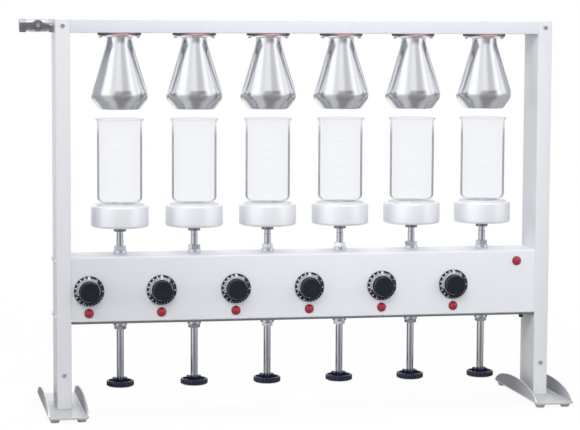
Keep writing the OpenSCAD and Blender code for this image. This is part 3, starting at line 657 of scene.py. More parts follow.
def gasketRubber(name, s):
    # painted shade: darker at the ends along the row, where the ring's sides turn from the light, than at the
    # front and back
    f = Finish(name)
    cloud = f.noise(80.0, 3.0)
    across = f.clamp((f.sum("ABSOLUTE", f.axis("y")) - s["from"]) / s["fade"])
    return f.done({
        "Base Color": f.mix(s["sides"], s["front"], across * f.vary(0.925, 0.15, cloud)),
        "Roughness": f.vary(0.60, 0.1, cloud),
        "Normal": f.bump(cloud, 0.1),
    })


lensShadeSet = {"rim": tint(112, 14, 34), "centre": tint(180, 28, 50), "depth": 0.006}


def lensRed(name, s):
    # painted light and shade: a brighter red at its middle than at its rim, as the dome is lit
    f = Finish(name)
    cloud = f.noise(120.0)
    raised = f.clamp((box("control_box")[0].y - f.axis("y")) / s["depth"])
    return f.done({
        "Base Color": f.mix(s["rim"], s["centre"], raised * raised * f.vary(0.95, 0.1, cloud)),
        "Roughness": f.vary(0.18, 0.08, cloud),
        "Coat Weight": 0.3,
        "Coat Roughness": 0.06,
    })


paint = {
    # the box and the beam get painted light along the row: darker at the left end, lighter at the right
    "box": enamel("boxEnamel", tint(226, 228, 234), 0.42, (0.93, 1.12)),
    "post": enamel("postEnamel", tint(228, 230, 234), 0.40),
    "beam": enamel("beamEnamel", tint(225, 228, 235), 0.40, (0.97, 1.05)),
    # painted shade: the cover plate is dark grey so that its edge makes the shadow line under the control box
    "cover": enamel("coverShadeEnamel", tint(104, 106, 112), 0.6),
}
steel = {
    "foot": metal("footSheet", tint(218, 219, 222), 0.42, 0.08, 700.0, sheetLines, bare=0.5),
    "wing": wingSheet("wingSheet", wingSet),
    "spun": metal("spunSteel", tint(239, 240, 244), 0.18, 0.05, dullAndShaded=dullAndShadedSet),
    "cup": metal("cupAluminium", tint(246, 248, 255), 0.42, 0.04, bare=0.4),
    "plate": metal("plateSteel", tint(232, 233, 237), 0.40, 0.06, bare=0.4),
    "bright": metal("brightPlate", tint(232, 234, 239), 0.14),
    "shaded": metal("shadedPlate", tint(188, 190, 197), 0.16),
    "screw": metal("screwPlate", tint(222, 223, 228), 0.32),
    "rod": metal("rodChrome", tint(196, 198, 206), 0.10),
    "dark": metal("darkSteel", tint(142, 143, 152), 0.36, 0.05),
    "valve": metal("valvePlate", tint(180, 180, 184), 0.26, 0.10, 260.0, evenGrain, 0.10),
}
plastic = {
    "wheel": moulded("wheelPlastic", tint(27, 31, 54), 0.14, 0.0, 0.02, 0.4),
    "dial": moulded("dialPlastic", tint(24, 27, 41), 0.28, 0.0, 0.05, 0.35),
    "print": moulded("scalePrint", tint(208, 210, 219), 0.5),
    "lever": moulded("leverCoat", tint(100, 102, 113), 0.42, 0.1),
    "gland": moulded("glandPlastic", tint(52, 53, 60), 0.5),
    "regulator": moulded("regulatorPlastic", tint(40, 40, 44), 0.55),
    "bezel": moulded("lampBezel", tint(150, 62, 72), 0.25, 0.3),
    "pad": moulded("padRubber", tint(196, 197, 198), 0.75, 0.0, 0.2),
    "gasket": gasketRubber("gasketRubber", gasketShadeSet),
}
glass = {side: clearGlass(f"{side}Glass", glassSet, glassSet[side]) for side in ("outside", "inside")}
lens = lensRed("lampLens", lensShadeSet)
print("finishes made")


# Posts, beam, control box and its cover; sizes of all pieces in mm

frameSet = {
    "postEdge": 1.2, "beamEdge": 1.6, "outletBore": 4.5, "outletEdge": 0.8, "outletRoot": 1.0,
    "boxTopEdge": 4.0, "boxEdge": 0.2, "boxGap": 0.4,
    "coverEdge": 0.4, "coverPlate": 2.0, "stepEnds": 2.2, "stepSides": 5.0,
}


def makePosts(s):
    for node in ("left_post", "right_post"):
        bm = bmesh.new()
        block(bm, *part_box(node), s["postEdge"], 4)
        piece(newMesh(node, bm, [paint["post"]]), node + "Shell", "frame", [node])


def makeBeam(s):
    low, high = box("top_beam")
    postLow, postHigh = box("left_post")
    bm = bmesh.new()
    block(bm, (postHigh.x, postLow.y, low.z), (box("right_post")[0].x, postHigh.y, high.z), s["beamEdge"])
    outlet = [m for m in frame["record"]["mounts"] if m["name"] == "water_outlet"][0]
    radius, bore, edge = outlet["dims"]["r_mm"], s["outletBore"], s["outletEdge"]
    length = (high.y - postHigh.y) / mm
    spigot = turn(bm, roundedPath([
        (radius, -s["outletRoot"]), (radius, length, edge), (bore, length, edge), (bore, 0.0), (0.0, 0.0),
    ]), 48)
    placed(bm, spigot, (outlet["pos_m"][0], postHigh.y, outlet["pos_m"][2]), -90)
    piece(newMesh("topBeam", bm, [paint["beam"]]), "topBeamShell", "frame", ["top_beam"])


def makeBox(s):
    low, high = box("control_box")
    half, tall, top = (high.y - low.y) / mm / 2, (high.z - low.z) / mm, s["boxTopEdge"]
    outline = roundedPath([(-half, 0.0), (-half, tall, top), (half, tall, top), (half, 0.0)])
    ends = (low.x - s["boxGap"] * mm, high.x + s["boxGap"] * mm)
    bm = bmesh.new()
    rows = [[bm.verts.new((x, y * mm, low.z + z * mm)) for y, z in outline] for x in ends]
    prism(bm, rows, 0, s["boxEdge"])
    mesh = newMesh("controlBox", bm, [paint["box"]])
    piece(mesh, "controlBoxShell", "frame", ["control_box"])


def makeCover(s):
    low, high = box("bottom_cover")
    plateTop = low.z + s["coverPlate"] * mm
    inset = Vector((s["stepEnds"], s["stepSides"], 0.0)) * mm
    bm = bmesh.new()
    # the plate in the dark grey of painted shade, the step above it in the box's paint
    block(bm, low, (high.x, high.y, plateTop), s["coverEdge"], 2)
    block(bm, (*(low + inset).xy, plateTop), high - inset, materialIndex=1)
    mesh = newMesh("bottomCover", bm, [paint["cover"], paint["box"]])
    piece(mesh, "bottomCoverShell", "frame", ["bottom_cover"])


makePosts(frameSet)
makeBeam(frameSet)
makeBox(frameSet)
makeCover(frameSet)
print("frame made")


# Feet: sheet channels with arched wings, on rubber pads

footSet = {"sheet": 2.5, "upright": 0.8, "bend": 5.0, "wing": 30.0, "least": 0.01, "rows": 64,
           "padTip": 7.0, "padTop": 10.0}


def makeFoot(s, node):
    low, high = box(node)
    half, length = (high.x - low.x) / mm / 2, (high.y - low.y) / mm
    t, bend = s["sheet"], s["bend"]

    def section(top):
        outer = roundedPath([(-half, top), (-half, 0.0, bend), (half, 0.0, bend), (half, top)])
        near = half - t
        inner = roundedPath([(-near, top), (-near, t, bend - t), (near, t, bend - t), (near, top)])
        return outer + inner[::-1]

    bm = bmesh.new()
    rows = []
    for k in range(s["rows"] + 1):
        angle = math.pi * k / s["rows"]
        y = -length / 2 * math.cos(angle)
        top = max(bend + s["least"], s["wing"] * math.sin(angle))
        rows.append([bm.verts.new((x * mm, y * mm, z * mm)) for x, z in section(top)])
    for near, far in zip(rows, rows[1:]):
        band(bm, near, far)
    count = len(rows[0])
    for row in (rows[0], rows[-1]):
        for k in range(count // 2 - 1):
            bm.faces.new((row[k], row[k + 1], row[count - 2 - k], row[count - 1 - k]))
    bmesh.ops.recalc_face_normals(bm, faces=bm.faces)
    for face in bm.faces:
        face.material_index = int(abs(face.normal.x) > s["upright"])
    mesh = newMesh(node, bm, [steel["foot"], steel["wing"]])
    centre = (low + high) / 2
    piece(mesh, node + "Channel", "frame", [node], (centre.x, centre.y, low.z))


def makePads(s):
    low, high = box("rubber_feet")
    radius = s["padTop"] * mm
    inset = high.x - radius - box("right_foot")[1].x
    places = []
    for node in ("left_foot", "right_foot"):
        footLow, footHigh = box(node)
        for x in (footLow.x - inset, footHigh.x + inset):
            places += [(x, low.y + radius, low.z), (x, high.y - radius, low.z)]
    g = Growth("padTree")
    tip, top, tall = g.lengths(tip=s["padTip"], top=s["padTop"], tall=tallness("rubber_feet"))
    pads = g.copies(g.points, g.cone(40, tip, top, tall, 4))
    piece(g.grow(pads, plastic["pad"], places), "rubberPads", "frame", ["rubber_feet"])


makeFoot(footSet, "left_foot")
makeFoot(footSet, "right_foot")
makePads(footSet)
print("feet made")


# Condensers, gaskets and flange screws

condenserSet = {
    "neck": 23.5, "neckLength": 9.5, "shoulder": 54.25, "shoulderHeight": 24.5, "base": 36.75,
    "neckRound": 51.0, "shoulderRound": 25.0, "baseRound": 3.5,
    "flange": 38.0, "flangeThick": 2.5, "flangeEdge": 0.5, "weld": 2.0, "gasketEdge": 0.8, "waterWay": 18.0,
}


def makeCondensers(s):
    tall = tallness("condenser_1")
    under = tall - s["flangeThick"]
    outline = roundedPath([
        (0.0, 0.0),
        (s["base"], 0.0, s["baseRound"]),
        (s["shoulder"], s["shoulderHeight"], s["shoulderRound"]),
        (s["neck"], under - s["neckLength"], s["neckRound"]),
        (s["neck"], under, s["weld"]),
        (s["flange"], under, s["flangeEdge"]),
        (s["flange"], tall, s["flangeEdge"]),
        (s["waterWay"], tall),
        (s["waterWay"], under),
        (0.0, under),
    ])
    mesh = lathe("condenser", outline, [steel["spun"]], 128)
    eachStation(mesh, "condenser", "frame", "condenser", lowZ("condenser_1"))


def makeGaskets(s):
    low, high = box("condenser_gaskets")
    radius, tall = (high.y - low.y) / 2 / mm, (high.z - low.z) / mm
    bore, edge = s["waterWay"], s["gasketEdge"]
    outline = roundedPath([(bore, 0.0), (radius, 0.0, edge), (radius, tall, edge), (bore, tall), (bore, 0.0)])
    bm = bmesh.new()
    for i in stations:
        placed(bm, turn(bm, outline, 96), (stationX[i], 0.0, low.z), 0)
    mesh = newMesh("gaskets", bm, [plastic["gasket"]])
    piece(mesh, "gasketRings", "frame", ["condenser_gaskets"])


def screwMesh(name, s, places, aims):
    # domed heads with hexagon sockets and short shanks, one at each place along its aim
    g = Growth(name)
    head, tall, socket, shank, reach = g.lengths(
        head=s["head"], tall=s["headHeight"], socket=s["socket"], shank=s["shank"], reach=s["shankLength"],
    )
    dome = g.cone(32, head, head * s["dome"], tall, 3)
    hexagon = g.moved(g.cylinder(6, socket, tall), 0.0, 0.0, tall)
    cut = {"Mesh 1": dome, "Mesh 2": hexagon}
    drilled = g.node("GeometryNodeMeshBoolean", cut, operation="DIFFERENCE", solver="EXACT")
    stem = g.moved(g.cylinder(20, shank, reach), 0.0, 0.0, reach * -0.5)
    aim = g.node("GeometryNodeInputNamedAttribute", {"Name": "aim"}, data_type="FLOAT_VECTOR")
    turned = g.node("FunctionNodeAlignRotationToVector", {"Vector": aim}, axis="Z")
    return g.grow(g.copies(g.points, g.joined([drilled, stem]), turned), steel["screw"], places, aims)


flangeScrewSet = {"head": 3.75, "headHeight": 2.4, "dome": 0.68, "socket": 1.5, "shank": 2.0,
                  "shankLength": 6.0, "circle": 34.0, "each": 4}


def makeFlangeScrews(s):
    z = lowZ("condenser_screws") + s["headHeight"] * mm
    reach = s["circle"] * mm
    places = []
    for i in stations:
        for k in range(s["each"]):
            angle = 2 * math.pi * k / s["each"]
            places.append((stationX[i] + reach * math.cos(angle), reach * math.sin(angle), z))
    mesh = screwMesh("flangeScrewTree", s, places, [(0.0, 0.0, -1.0)] * len(places))
    piece(mesh, "flangeScrews", "frame", ["condenser_screws"])


makeCondensers(condenserSet)
makeGaskets(condenserSet)
makeFlangeScrews(flangeScrewSet)
print("condensers made")


# Screws of the posts, the box and its cover

frameScrewSet = {"head": 4.75, "headHeight": 2.6, "dome": 0.68, "socket": 1.75, "shank": 2.5,
                 "shankLength": 6.0, "sideY": 32.0, "upperIn": 9.0, "lowerIn": 7.0, "coverIn": 15.0,
                 "coverHead": 1.0, "tongueScrew": 61.0}


def makeFrameScrews(s):
    boxLow, boxHigh = box("control_box")
    sides = (-s["sideY"] * mm, s["sideY"] * mm)
    places, aims = [], []
    for node, way in (("left_post", -1), ("right_post", 1)):
        low, high = box(node)
        outer = high.x if way > 0 else low.x
        for z in (middle("valve_body").z, low.z + s["tongueScrew"] * mm):
            places.append(((low.x + high.x) / 2, low.y, z))
            aims.append((0.0, -1.0, 0.0))
        for y in sides:
            for z in (boxLow.z + s["lowerIn"] * mm, boxHigh.z - s["upperIn"] * mm):
                places.append((outer, y, z))
                aims.append((float(way), 0.0, 0.0))
    low, high = box("bottom_cover")
    ends = (low.x + s["coverIn"] * mm, high.x - s["coverIn"] * mm)
    under = [(x, y, low.z) for x in ends for y in sides]
    bm = bmesh.new()
    bm.from_mesh(screwMesh("frameScrewTree", s, places, aims))
    coverScrew = {**s, "headHeight": s["coverHead"]}
    bm.from_mesh(screwMesh("coverScrewTree", coverScrew, under, [(0.0, 0.0, -1.0)] * len(under)))
    mesh = newMesh("frameScrews", bm, [steel["screw"]])
    piece(mesh, "frameScrewHeads", "frame", ["frame_screws"])


makeFrameScrews(frameScrewSet)
print("frame screws made")


# Heaters, hot plates, lift screws, bushes and handwheels

liftSet = {
    "cup": 52.0, "cupBase": 5.0, "cupRim": 4.0, "dish": 43.0, "dishDepth": 2.0, "run": 0.25,
    "boss": 11.0, "bossHeight": 8.5, "bossEdge": 0.8, "bossSink": 0.5,
    "plate": 44.0, "plateStep": 2.5, "plateEdge": 0.8,
    "rod": 6.5, "rodEdge": 0.6, "neck": 6.0, "neckLength": 14.0,
}


def makeHeaters(s):
    bossLow = lowZ("heater_1")
    cupLow = bossLow + s["bossHeight"] * mm
    tall = (highZ("heater_1") - cupLow) / mm
    floor = tall - s["dishDepth"]
    bm = bmesh.new()
    turn(bm, roundedPath([
        (s["boss"], 0.0), (s["cup"], 0.0, s["cupBase"]), (s["cup"], tall, s["cupRim"]),
        (s["dish"], tall), (s["dish"], floor), (0.0, floor),
    ]), 128)
    bottom, sink = -s["bossHeight"], s["bossSink"]
    seat = bottom + (highZ("lift_screw_1") - bossLow) / mm + s["run"]
    bore = s["neck"] + s["run"]
    turn(bm, roundedPath([
        (0.0, seat), (bore, seat), (bore, bottom), (s["boss"], bottom, s["bossEdge"]),
        (s["boss"], sink), (0.0, sink),
    ]), 64, 1)
    mesh = newMesh("heater", bm, [steel["cup"], steel["dark"]])
    eachStation(mesh, "heaterCup", "lift_{}", "heater", cupLow)


def makePlates(s):
    r, step = s["plate"], s["plateStep"]
    disc = roundedPath([(0.0, -step), (r, -step), (r, 0.0, s["plateEdge"]), (0.0, 0.0)])
    mesh = lathe("hotPlate", disc, [steel["plate"]], 96)
    eachStation(mesh, "hotPlate", "lift_{}", "hot_plate", highZ("hot_plate_1"))


def makeRods(s):
    tall, edge = tallness("lift_screw_1"), s["rodEdge"]
    shoulder = tall - s["neckLength"]
    rod = roundedPath([
        (0.0, 0.0), (s["rod"], 0.0, edge), (s["rod"], shoulder, edge), (s["neck"], shoulder + edge),
        (s["neck"], tall), (0.0, tall),
    ])
    mesh = lathe("liftScrew", rod, [steel["rod"]], 64)
    eachStation(mesh, "liftRod", "screw_{}", "lift_screw", lowZ("lift_screw_1"))


bushSet = {
    "collar": 12.5, "collarEdge": 0.8, "collarChamfer": 1.2, "flats": 19.0, "crownIn": 0.3,
    "crownSlope": 0.65, "bore": 6.55, "boreEdge": 0.4,
    "twist": 15,  # degrees from one hexagon to the next
    "upper": {"collar": 8.0, "hex": 8.0, "finish": "bright"},
    "lower": {"collar": 9.5, "hex": 6.5, "finish": "shaded"},
}


def bushRings(s, collar, top):
    flat = hexRadius(s["flats"])
    crown, bore, edge = s["flats"] / 2 - s["crownIn"], s["bore"], s["boreEdge"]
    r, foot, chamfer = s["collar"], s["collarEdge"], s["collarChamfer"]
    return [
        (bore, 0.0), (r - foot, 0.0), (r, foot), (r, collar - chamfer), (r - chamfer, collar),
        lambda a: (flat(a), collar), lambda a: (flat(a), top - (flat(a) - crown) * s["crownSlope"]),
        (crown, top), (bore + edge, top), (bore, top - edge),
    ]


def makeBushes(s):
    for side, z, flip in (("upper", highZ("control_box"), 0), ("lower", lowZ("bottom_cover"), 180)):
        collar, hexagon, finish = s[side].values()
        rings = bushRings(s, collar, collar + hexagon)
        bm = bmesh.new()
        for i in stations:
            verts = turn(bm, rings, 96, 0, True)
            placed(bm, verts, (0.0, 0.0, 0.0), flip)
            placed(bm, verts, (stationX[i], 0.0, z), s["twist"] * i, "Z")
        mesh = newMesh(f"{side}_bushes", bm, [steel[finish]], 28)
        piece(mesh, f"{side}Bushes", "frame", [f"{side}_bushes"])


wheelSet = {
    "rim": 25.0, "rimWall": 4.0, "floor": 4.0, "bevel": 2.0, "height": 11.0, "bore": 6.55,
    "notches": 14, "notchDepth": 1.2, "gripEdge": 0.5, "hub": 10.0, "hubRise": 4.0, "edge": 0.8,
    "lobes": 6, "lobe": 3.5, "lobeCircle": 11.0, "lobeRise": 1.0, "ribWidth": 3.5, "ribRoot": 1.0,
}


def lobeTree(s, inner):
    # the lobes round a handwheel's hub, each with a rib to the rim
    g = Growth("lobeTree")
    count = g.size("lobes", s["lobes"], True)
    radius, circle, edge, base, width, tall, length, ribTall = g.lengths(
        radius=s["lobe"], circle=s["lobeCircle"], edge=s["edge"], base=s["bevel"], ribWidth=s["ribWidth"],
        tall=s["height"] + s["hubRise"] + s["lobeRise"] - s["bevel"],
        ribLength=inner + s["ribRoot"] - s["lobeCircle"], ribTall=s["height"] - 2 * s["bevel"],
    )
    stem = g.moved(g.cylinder(32, radius, tall - edge), 0.0, 0.0, (tall - edge) * 0.5)
    crown = g.moved(g.cone(32, radius, radius - edge, edge), 0.0, 0.0, tall - edge)
    rib = g.node("GeometryNodeMeshCube", {"Size": g.vector(length, width, ribTall)}, "Mesh")
    arm = g.moved(rib, length * 0.5, 0.0, ribTall * 0.5)
    angle = (g.index() + 0.5) * 2 * math.pi / count
    spots = g.spots(count, g.onCircle(circle, angle, base))
    lobes = g.copies(spots, g.joined([stem, crown, arm]), g.vector(0.0, 0.0, angle))
    return g.grow(lobes, plastic["wheel"])


def makeWheels(s):
    rim, inner = s["rim"], s["rim"] - s["rimWall"]
    tall, floor, edge, bevel, soft = s["height"], s["floor"], s["edge"], s["bevel"], s["gripEdge"]
    hub, bore, top = s["hub"], s["bore"], s["height"] + s["hubRise"]

    def grip(radius, height):
        def ring(angle):
            wave = 0.5 + 0.5 * math.cos(s["notches"] * angle)
            return radius - s["notchDepth"] * (1 - wave) ** 3, height
        return ring

    rings = [(0.0, 0.0), (rim - 2 * bevel, 0.0)]
    rings += [grip(rim - soft, bevel), grip(rim, bevel + edge), grip(rim, tall - 2 * edge)]
    rings += [grip(rim - soft, tall - soft), (rim - 2 * edge, tall)]
    rings += [(inner + edge, tall), (inner, tall - edge), (inner, floor + edge), (inner - edge, floor)]
    rings += [(hub, floor), (hub, top - edge), (hub - edge, top), (bore, top), (bore, floor), (0.0, floor)]
    bm = bmesh.new()
    turn(bm, rings, 168)
    bm.from_mesh(lobeTree(s, inner))
    mesh = newMesh("handwheel", bm, [plastic["wheel"]], 40)
    eachStation(mesh, "handwheel", "screw_{}", "handwheel", lowZ("handwheel_1"))


makeHeaters(liftSet)
makePlates(liftSet)
makeRods(liftSet)
makeBushes(bushSet)
makeWheels(wheelSet)
print("lifts made")


# Beakers

beakerSet = {
    "radius": 41.5, "wall": 2.0, "rim": 45.0, "flare": 8.0, "flareRound": 7.0, "flareInside": 6.0,
    "baseRound": 12.0, "lip": 1.0, "lipRound": 0.6, "lipInside": 0.4, "lipDrop": 0.5,
    "marks": 6, "markFrom": 32.0, "markStep": 16.0, "markRadius": 41.53, "markThick": 0.3, "markProud": 0.12,
    "markTurn": -112.0, "markSweep": 16.0,  # degrees
}


def markMesh(s):
    # short arcs one above another on the glass
    g = Growth("markTree")
    count = g.size("marks", s["marks"], True)
    first, step, radius, thick = g.lengths(
        first=s["markFrom"], step=s["markStep"], radius=s["markRadius"], thick=s["markThick"],
    )
    start = g.size("start", math.radians(s["markTurn"]))
    sweep = g.size("sweep", math.radians(s["markSweep"]))
    spots = g.spots(count, g.vector(0.0, 0.0, first + g.index() * step))
    sockets = {"Resolution": 10, "Radius": radius, "Start Angle": start, "Sweep Angle": sweep}
    arc = g.node("GeometryNodeCurveArc", sockets, "Curve")
    sides = {"Width": thick * s["markProud"], "Height": thick}
    stroke = g.node("GeometryNodeCurvePrimitiveQuadrilateral", sides)
    bar = g.node("GeometryNodeCurveToMesh", {"Curve": arc, "Profile Curve": stroke, "Fill Caps": True})
    return g.grow(g.copies(spots, bar), plastic["print"])


def makeBeakers(s):
    low, tall = lowZ("beaker_1"), tallness("beaker_1")
    r, t, rim, lip = s["radius"], s["wall"], s["rim"], s["lip"]
    shoulder = tall - s["flare"]
    bm = bmesh.new()
    turn(bm, roundedPath([
        (0.0, 0.0),
        (r, 0.0, s["baseRound"]),
        (r, shoulder, s["flareRound"]),
        (rim, tall - lip, s["lipRound"]),
        (rim - lip, tall, s["lipRound"]),
        (rim - t, tall - lip, s["lipInside"]),
        (r - t, shoulder + s["lipDrop"], s["flareInside"]),
        (r - t, t, s["baseRound"] - t),
        (0.0, t),
    ]), 128)
    for face in bm.faces:
        spot = face.calc_center_median()
        face.material_index = int(face.normal.dot(Vector((spot.x, spot.y, 0.0))) < 0.0)
    mesh = newMesh("beaker", bm, [glass["outside"], glass["inside"]], 60)
    marks = markMesh(s)
    for i in stations:
        shift = (stationX[i], 0.0, low)
        piece(mesh, f"beakerGlass{i}", f"beaker_{i}", [f"beaker_{i}"], shift)
        piece(marks, f"beakerMarks{i}", f"beaker_{i}", [], shift)


makeBeakers(beakerSet)
print("beakers made")


# Dials and pilot lamps

dialSet = {
    "skirt": 27.0, "skirtThick": 4.5, "skirtRound": 0.7, "bevelHeight": 2.0, "band": 23.5, "bandHeight": 3.8,
    "foot": 18.2, "footHeight": 8.2, "cap": 17.5, "capLength": 18.0, "capRound": 1.4, "crown": 0.7,
    "dimple": 0.8,
    "scales": [  # name, count, first and last by the clock in degrees, outer radius, length, width
        ("boldTicks", 8, 205.0, 341.0, 26.6, 3.9, 1.9),
        ("thinTicks", 6, 130.0, 195.0, 26.3, 2.3, 0.9),
        ("fineTicks", 40, 252.0, 400.0, 23.3, 4.4, 0.75),
        ("topMark", 1, 0.0, 0.0, 26.6, 6.0, 4.6),
    ],
    "numbers": {"10": 33.0, "9": 62.0, "8": 91.0, "7": 118.0},  # by the clock too
    "numberSize": 5.2, "numberRadius": 24.0,
    "ringInner": 19.0, "ringOuter": 19.45, "printHeight": 0.05,
}


def dialTicks(name, count, first, last, outer, length, width):
    # ticks that point to the dial's middle, laid out clockwise from the top
    g = Growth(name)
    ticks = g.size("ticks", count, True)
    reach, long, wide = g.lengths(reach=outer - length / 2, long=length, wide=width)
    start = g.size("start", math.radians(90.0 - first))
    step = g.size("step", math.radians(first - last) / max(1, count - 1))
    angle = start + g.index() * step
    spots = g.spots(ticks, g.onCircle(reach, angle, 0.0))
    sockets = {"Size X": long, "Size Y": wide, "Vertices X": 5, "Vertices Y": 3}
    tick = g.node("GeometryNodeMeshGrid", sockets, "Mesh")
    return g.grow(g.copies(spots, tick, g.vector(0.0, 0.0, angle)), plastic["print"])


def numberMesh(text, size, radius, clockAngle):
    # one printed number, upright at the top of the dial and turned with it
    curve = bpy.data.curves.new("number", "FONT")
    curve.body = text
    curve.size = size * mm
    curve.align_x = "CENTER"
    curve.align_y = "CENTER"
    holder = bpy.data.objects.new("number", curve)
    bpy.context.collection.objects.link(holder)
    mesh = evaluated(holder)
    turned = Matrix.Rotation(math.radians(-clockAngle), 4, "Z")
    mesh.transform(turned @ Matrix.Translation((0.0, radius * mm, 0.0)))
    return mesh


def makeDials(s):
    low, high = box("dial_1")
    total = s["skirtThick"] + s["capLength"]
    r, cap, foot = s["skirt"], s["cap"], s["footHeight"]
    rise = [(r, s["skirtThick"] - s["bevelHeight"]), (s["band"], s["bandHeight"]), (s["foot"], foot)]
    outline = roundedPath([
        (0.0, 0.0),
        (r, 0.0, s["skirtRound"]),
        (*rise[0], s["skirtRound"]),
        rise[1],
        rise[2],
        (cap, foot),
        (cap, total - s["crown"], s["capRound"]),
        (s["dimple"], total),
        (0.0, total - s["dimple"] / 2),
    ])
    body = lathe("dialBody", outline, [plastic["dial"]], 128, 30)

    def faceHeight(radius):
        # height of the sloping face under a spot of the printed scale
        for (outerR, outerH), (innerR, innerH) in zip(rise, rise[1:]):
            if radius >= innerR:
                share = (outerR - radius) / (outerR - innerR)
                return outerH + (innerH - outerH) * share
        return foot

    printed = bmesh.new()
    for scale in s["scales"]:
        printed.from_mesh(dialTicks(*scale))
    for text, angle in s["numbers"].items():
        printed.from_mesh(numberMesh(text, s["numberSize"], s["numberRadius"], angle))
    turn(printed, [(s["ringInner"], 0.0), (s["ringOuter"], 0.0)], 96)
    for vert in printed.verts:
        radius = math.hypot(vert.co.x, vert.co.y) / mm
        vert.co.z = (faceHeight(radius) + s["printHeight"]) * mm
    marks = newMesh("dialScale", printed, [plastic["print"]])
    for mesh in (body, marks):
        mesh.transform(Matrix.Rotation(math.radians(90), 4, "X"))
    for i in stations:
        shift = (dialX[i], low.y + total * mm, (low.z + high.z) / 2)
        piece(body, f"dialKnob{i}", f"dial_{i}", [f"dial_{i}"], shift)
        piece(marks, f"dialScale{i}", f"dial_{i}", [], shift)


lampSet = {"bezel": 8.5, "bezelThick": 2.0, "bezelEdge": 0.8, "lens": 7.5, "lensHeight": 4.5, "lensRows": 12,
           "seat": 0.3, "seatDepth": 0.4, "shank": 6.0, "shankLength": 10.0}


def makeLamps(s):
    low, high = box("pilot_lamps")
    panelY = box("control_box")[0].y
    bezel, thick, lensR, rise = s["bezel"], s["bezelThick"], s["lens"], s["lensHeight"]
    ball = (lensR ** 2 + rise ** 2) / (2 * rise)
    dome = []
    for k in range(s["lensRows"] + 1):
        h = rise * k / s["lensRows"]
        dome.append((math.sqrt(max(0.0, ball ** 2 - (ball - rise + h) ** 2)), thick + h))
    collar = roundedPath([
        (0.0, -s["shankLength"]), (s["shank"], -s["shankLength"]), (s["shank"], 0.0), (bezel, 0.0),
        (bezel, thick, s["bezelEdge"]), (lensR, thick), (lensR - s["seat"], thick - s["seatDepth"]),
    ])
    bm = bmesh.new()
    spots = [(dialX[i], panelY, low.z + bezel * mm) for i in stations]
    spots.append((high.x - bezel * mm, panelY, high.z - bezel * mm))  # mains lamp
    for spot in spots:
        placed(bm, turn(bm, collar, 48, 1) + turn(bm, dome, 48), spot)
    mesh = newMesh("pilotLamps", bm, [lens, plastic["bezel"]])
    piece(mesh, "pilotLampLenses", "frame", ["pilot_lamps"])


makeDials(dialSet)
makeLamps(lampSet)
print("dials and lamps made")


# Inlet valve and its lever, gland and regulators

valveSet = {
    "flats": 23.5, "hexLength": 12.0, "rootLength": 8.0, "chamfer": 0.9, "cornerRise": 0.15,
    "neck": 10.2, "neckLength": 3.0, "slope": 2.0, "ball": 11.7, "swell": 0.6, "swellRows": 8,
    "inlet": 9.3, "inletDepth": 13.0, "inletEdge": 0.8,
    "boss": 10.5, "bossEdge": 0.8, "stem": 3.0, "stemDepth": 2.0,
}


def makeValve(s):
    low = box("valve_body")[0]
    length = (box("left_post")[0].x - low.x) / mm
    z = middle("valve_body").z
    flat = hexRadius(s["flats"])
    crown = s["flats"] / 2 + s["cornerRise"]

    def hexagon(start, end):
        ends, c = lambda a: min(flat(a), crown), s["chamfer"]
        return [
            lambda a: (ends(a), start), lambda a: (flat(a), start + c),
            lambda a: (flat(a), end - c), lambda a: (ends(a), end),
        ]

    h, root = s["hexLength"], length - s["rootLength"]
    inlet, edge, neck, step = s["inlet"], s["inletEdge"], s["neck"], s["neckLength"]
    waist = s["ball"] - s["swell"]
    first, last = h + step + s["slope"], root - step - s["slope"]
    rings = [(0.0, s["inletDepth"]), (inlet, s["inletDepth"]), (inlet, edge), (inlet + edge, 0.0)]
    rings += hexagon(0.0, h) + [(neck, h), (neck, h + step), (waist, first)]
    for k in range(s["swellRows"] + 1):
        share = k / s["swellRows"]
        rings.append((waist + s["swell"] * math.sin(math.pi * share), first + (last - first) * share))
    rings += [(neck, root - step), (neck, root)] + hexagon(root, length) + [(0.0, length)]
    bm = bmesh.new()
    placed(bm, turn(bm, rings, 96), (low.x, 0.0, z), 90, "Y")
    out, stem = -low.y / mm, s["stem"]
    boss = turn(bm, roundedPath([
        (s["boss"], 0.0), (s["boss"], out, s["bossEdge"]), (stem, out), (stem, out - s["stemDepth"]),
    ]), 48)
    placed(bm, boss, (low.x + (h + root) / 2 * mm, 0.0, z))
    piece(newMesh("valveBody", bm, [steel["valve"]]), "valveShell", "frame", ["valve_body"])


leverSet = {
    "length": 32.0, "tail": 24.0, "width": 12.0, "taper": 1.0, "waist": 7.0, "thick": 3.0, "edge": 0.6,
    "tipRound": 1.0, "backRound": 10.0, "waistRound": 4.0, "tailRound": 0.8, "cutRound": 3.0,
    "washer": 5.9, "washerThick": 0.6, "washerRound": 0.2, "head": 4.8, "headLow": 0.7, "headTaper": 0.2,
    "headRound": 0.7, "headHeight": 2.5, "ring": 3.6, "ringRise": 0.3, "socket": 4.2, "socketEdge": 0.2,
    "socketDepth": 1.6, "stem": 3.0, "stemFrom": -6.0, "stemTo": 1.0,
}


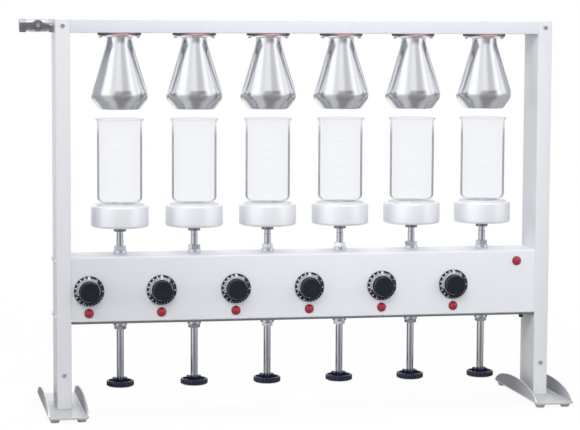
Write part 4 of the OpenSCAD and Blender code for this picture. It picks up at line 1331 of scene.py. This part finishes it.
def makeLever(s):
    low, high = box("valve_lever")
    half, taper, waist, tip, tail = s["width"] / 2, s["taper"], s["waist"], -s["length"], s["tail"]
    cut = taper - half / 2
    outline = roundedPath([
        (tip, 0.0),
        (tip, half - taper, s["tipRound"]),
        (0.0, half, s["backRound"]),
        (waist, half - taper, s["waistRound"]),
        (tail, 0.0, s["tailRound"]),
        (tail, -half / 2, s["tailRound"]),
        (waist, -half, s["waistRound"]),
        (-waist, -half, s["cutRound"]),
        (-2 * waist, cut, s["cutRound"]),
        (tip, cut, s["tipRound"]),
        (tip, 0.0),
    ])[:-1]
    top, e = s["headHeight"], s["socketEdge"]
    front = low.y + top * mm
    bm = bmesh.new()
    faces = (front, front + s["thick"] * mm)
    prism(bm, [[bm.verts.new((x * mm, y, v * mm)) for x, v in outline] for y in faces], 1, s["edge"])
    socket = hexRadius(s["socket"])
    crown, ring, floor = top - s["ringRise"], s["ring"], top - s["socketDepth"]
    head = roundedPath([
        (s["washer"], 0.0), (s["washer"], s["washerThick"], s["washerRound"]), (s["head"], s["headLow"]),
        (s["head"] - s["headTaper"], crown, s["headRound"]), (ring, crown),
    ])
    # painted light: the socket's rim takes the bright steel as a painted highlight, and the head and the
    # socket's hollow take the dark steel as painted shade
    rim = [(ring, crown), (ring - e, top), lambda a: (socket(a) + e, top)]
    hollow = [rim[-1], lambda a: (socket(a), top - e), lambda a: (socket(a), floor), (0.0, floor)]
    stem = [(0.0, s["stemFrom"]), (s["stem"], s["stemFrom"]), (s["stem"], s["stemTo"]), (0.0, s["stemTo"])]
    for rings, segments, index in ((head, 96, 2), (rim, 96, 1), (hollow, 96, 2), (stem, 32, 1)):
        placed(bm, turn(bm, rings, segments, index), (0.0, front, 0.0))
    mesh = newMesh("valveLever", bm, [plastic["lever"], steel["bright"], steel["dark"]])
    pivot = (high.x - tail * mm, 0.0, middle("valve_body").z)
    piece(mesh, "valveLeverArm", "valve_lever", ["valve_lever"], pivot)


glandSet = {"bore": 2.5, "tipIn": 1.6, "barrelIn": 1.0, "topIn": 0.9, "tipEdge": 0.8, "nutFrom": 0.5,
            "nutEdge": 0.6, "nutTop": 0.9}


def makeGland(s):
    low, high = box("cable_gland")
    radius = (high.x - low.x) / 2 / mm
    under = (lowZ("bottom_cover") - low.z) / mm
    nut, bore = under * s["nutFrom"], s["bore"]
    flat = hexRadius(radius * 2 * math.cos(math.radians(30)))
    rings = [
        (bore, 0.0), (radius - s["tipIn"], 0.0), (radius - s["barrelIn"], s["tipEdge"]),
        (radius - s["topIn"], nut), lambda a: (flat(a), nut), lambda a: (flat(a), under - s["nutEdge"]),
        (radius * s["nutTop"], under), (bore, under), (bore, 0.0),
    ]
    mesh = lathe("gland", rings, [plastic["gland"]], 48)
    centre = (low + high) / 2
    piece(mesh, "cableGland", "frame", ["cable_gland"], (centre.x, centre.y, low.z))


makeValve(valveSet)
makeLever(leverSet)
makeGland(glandSet)
regulators = frame["nodes"]["energy_regulators"]
regulators.data.materials.clear()
regulators.data.materials.append(plastic["regulator"])
print("valve, gland and regulators made")
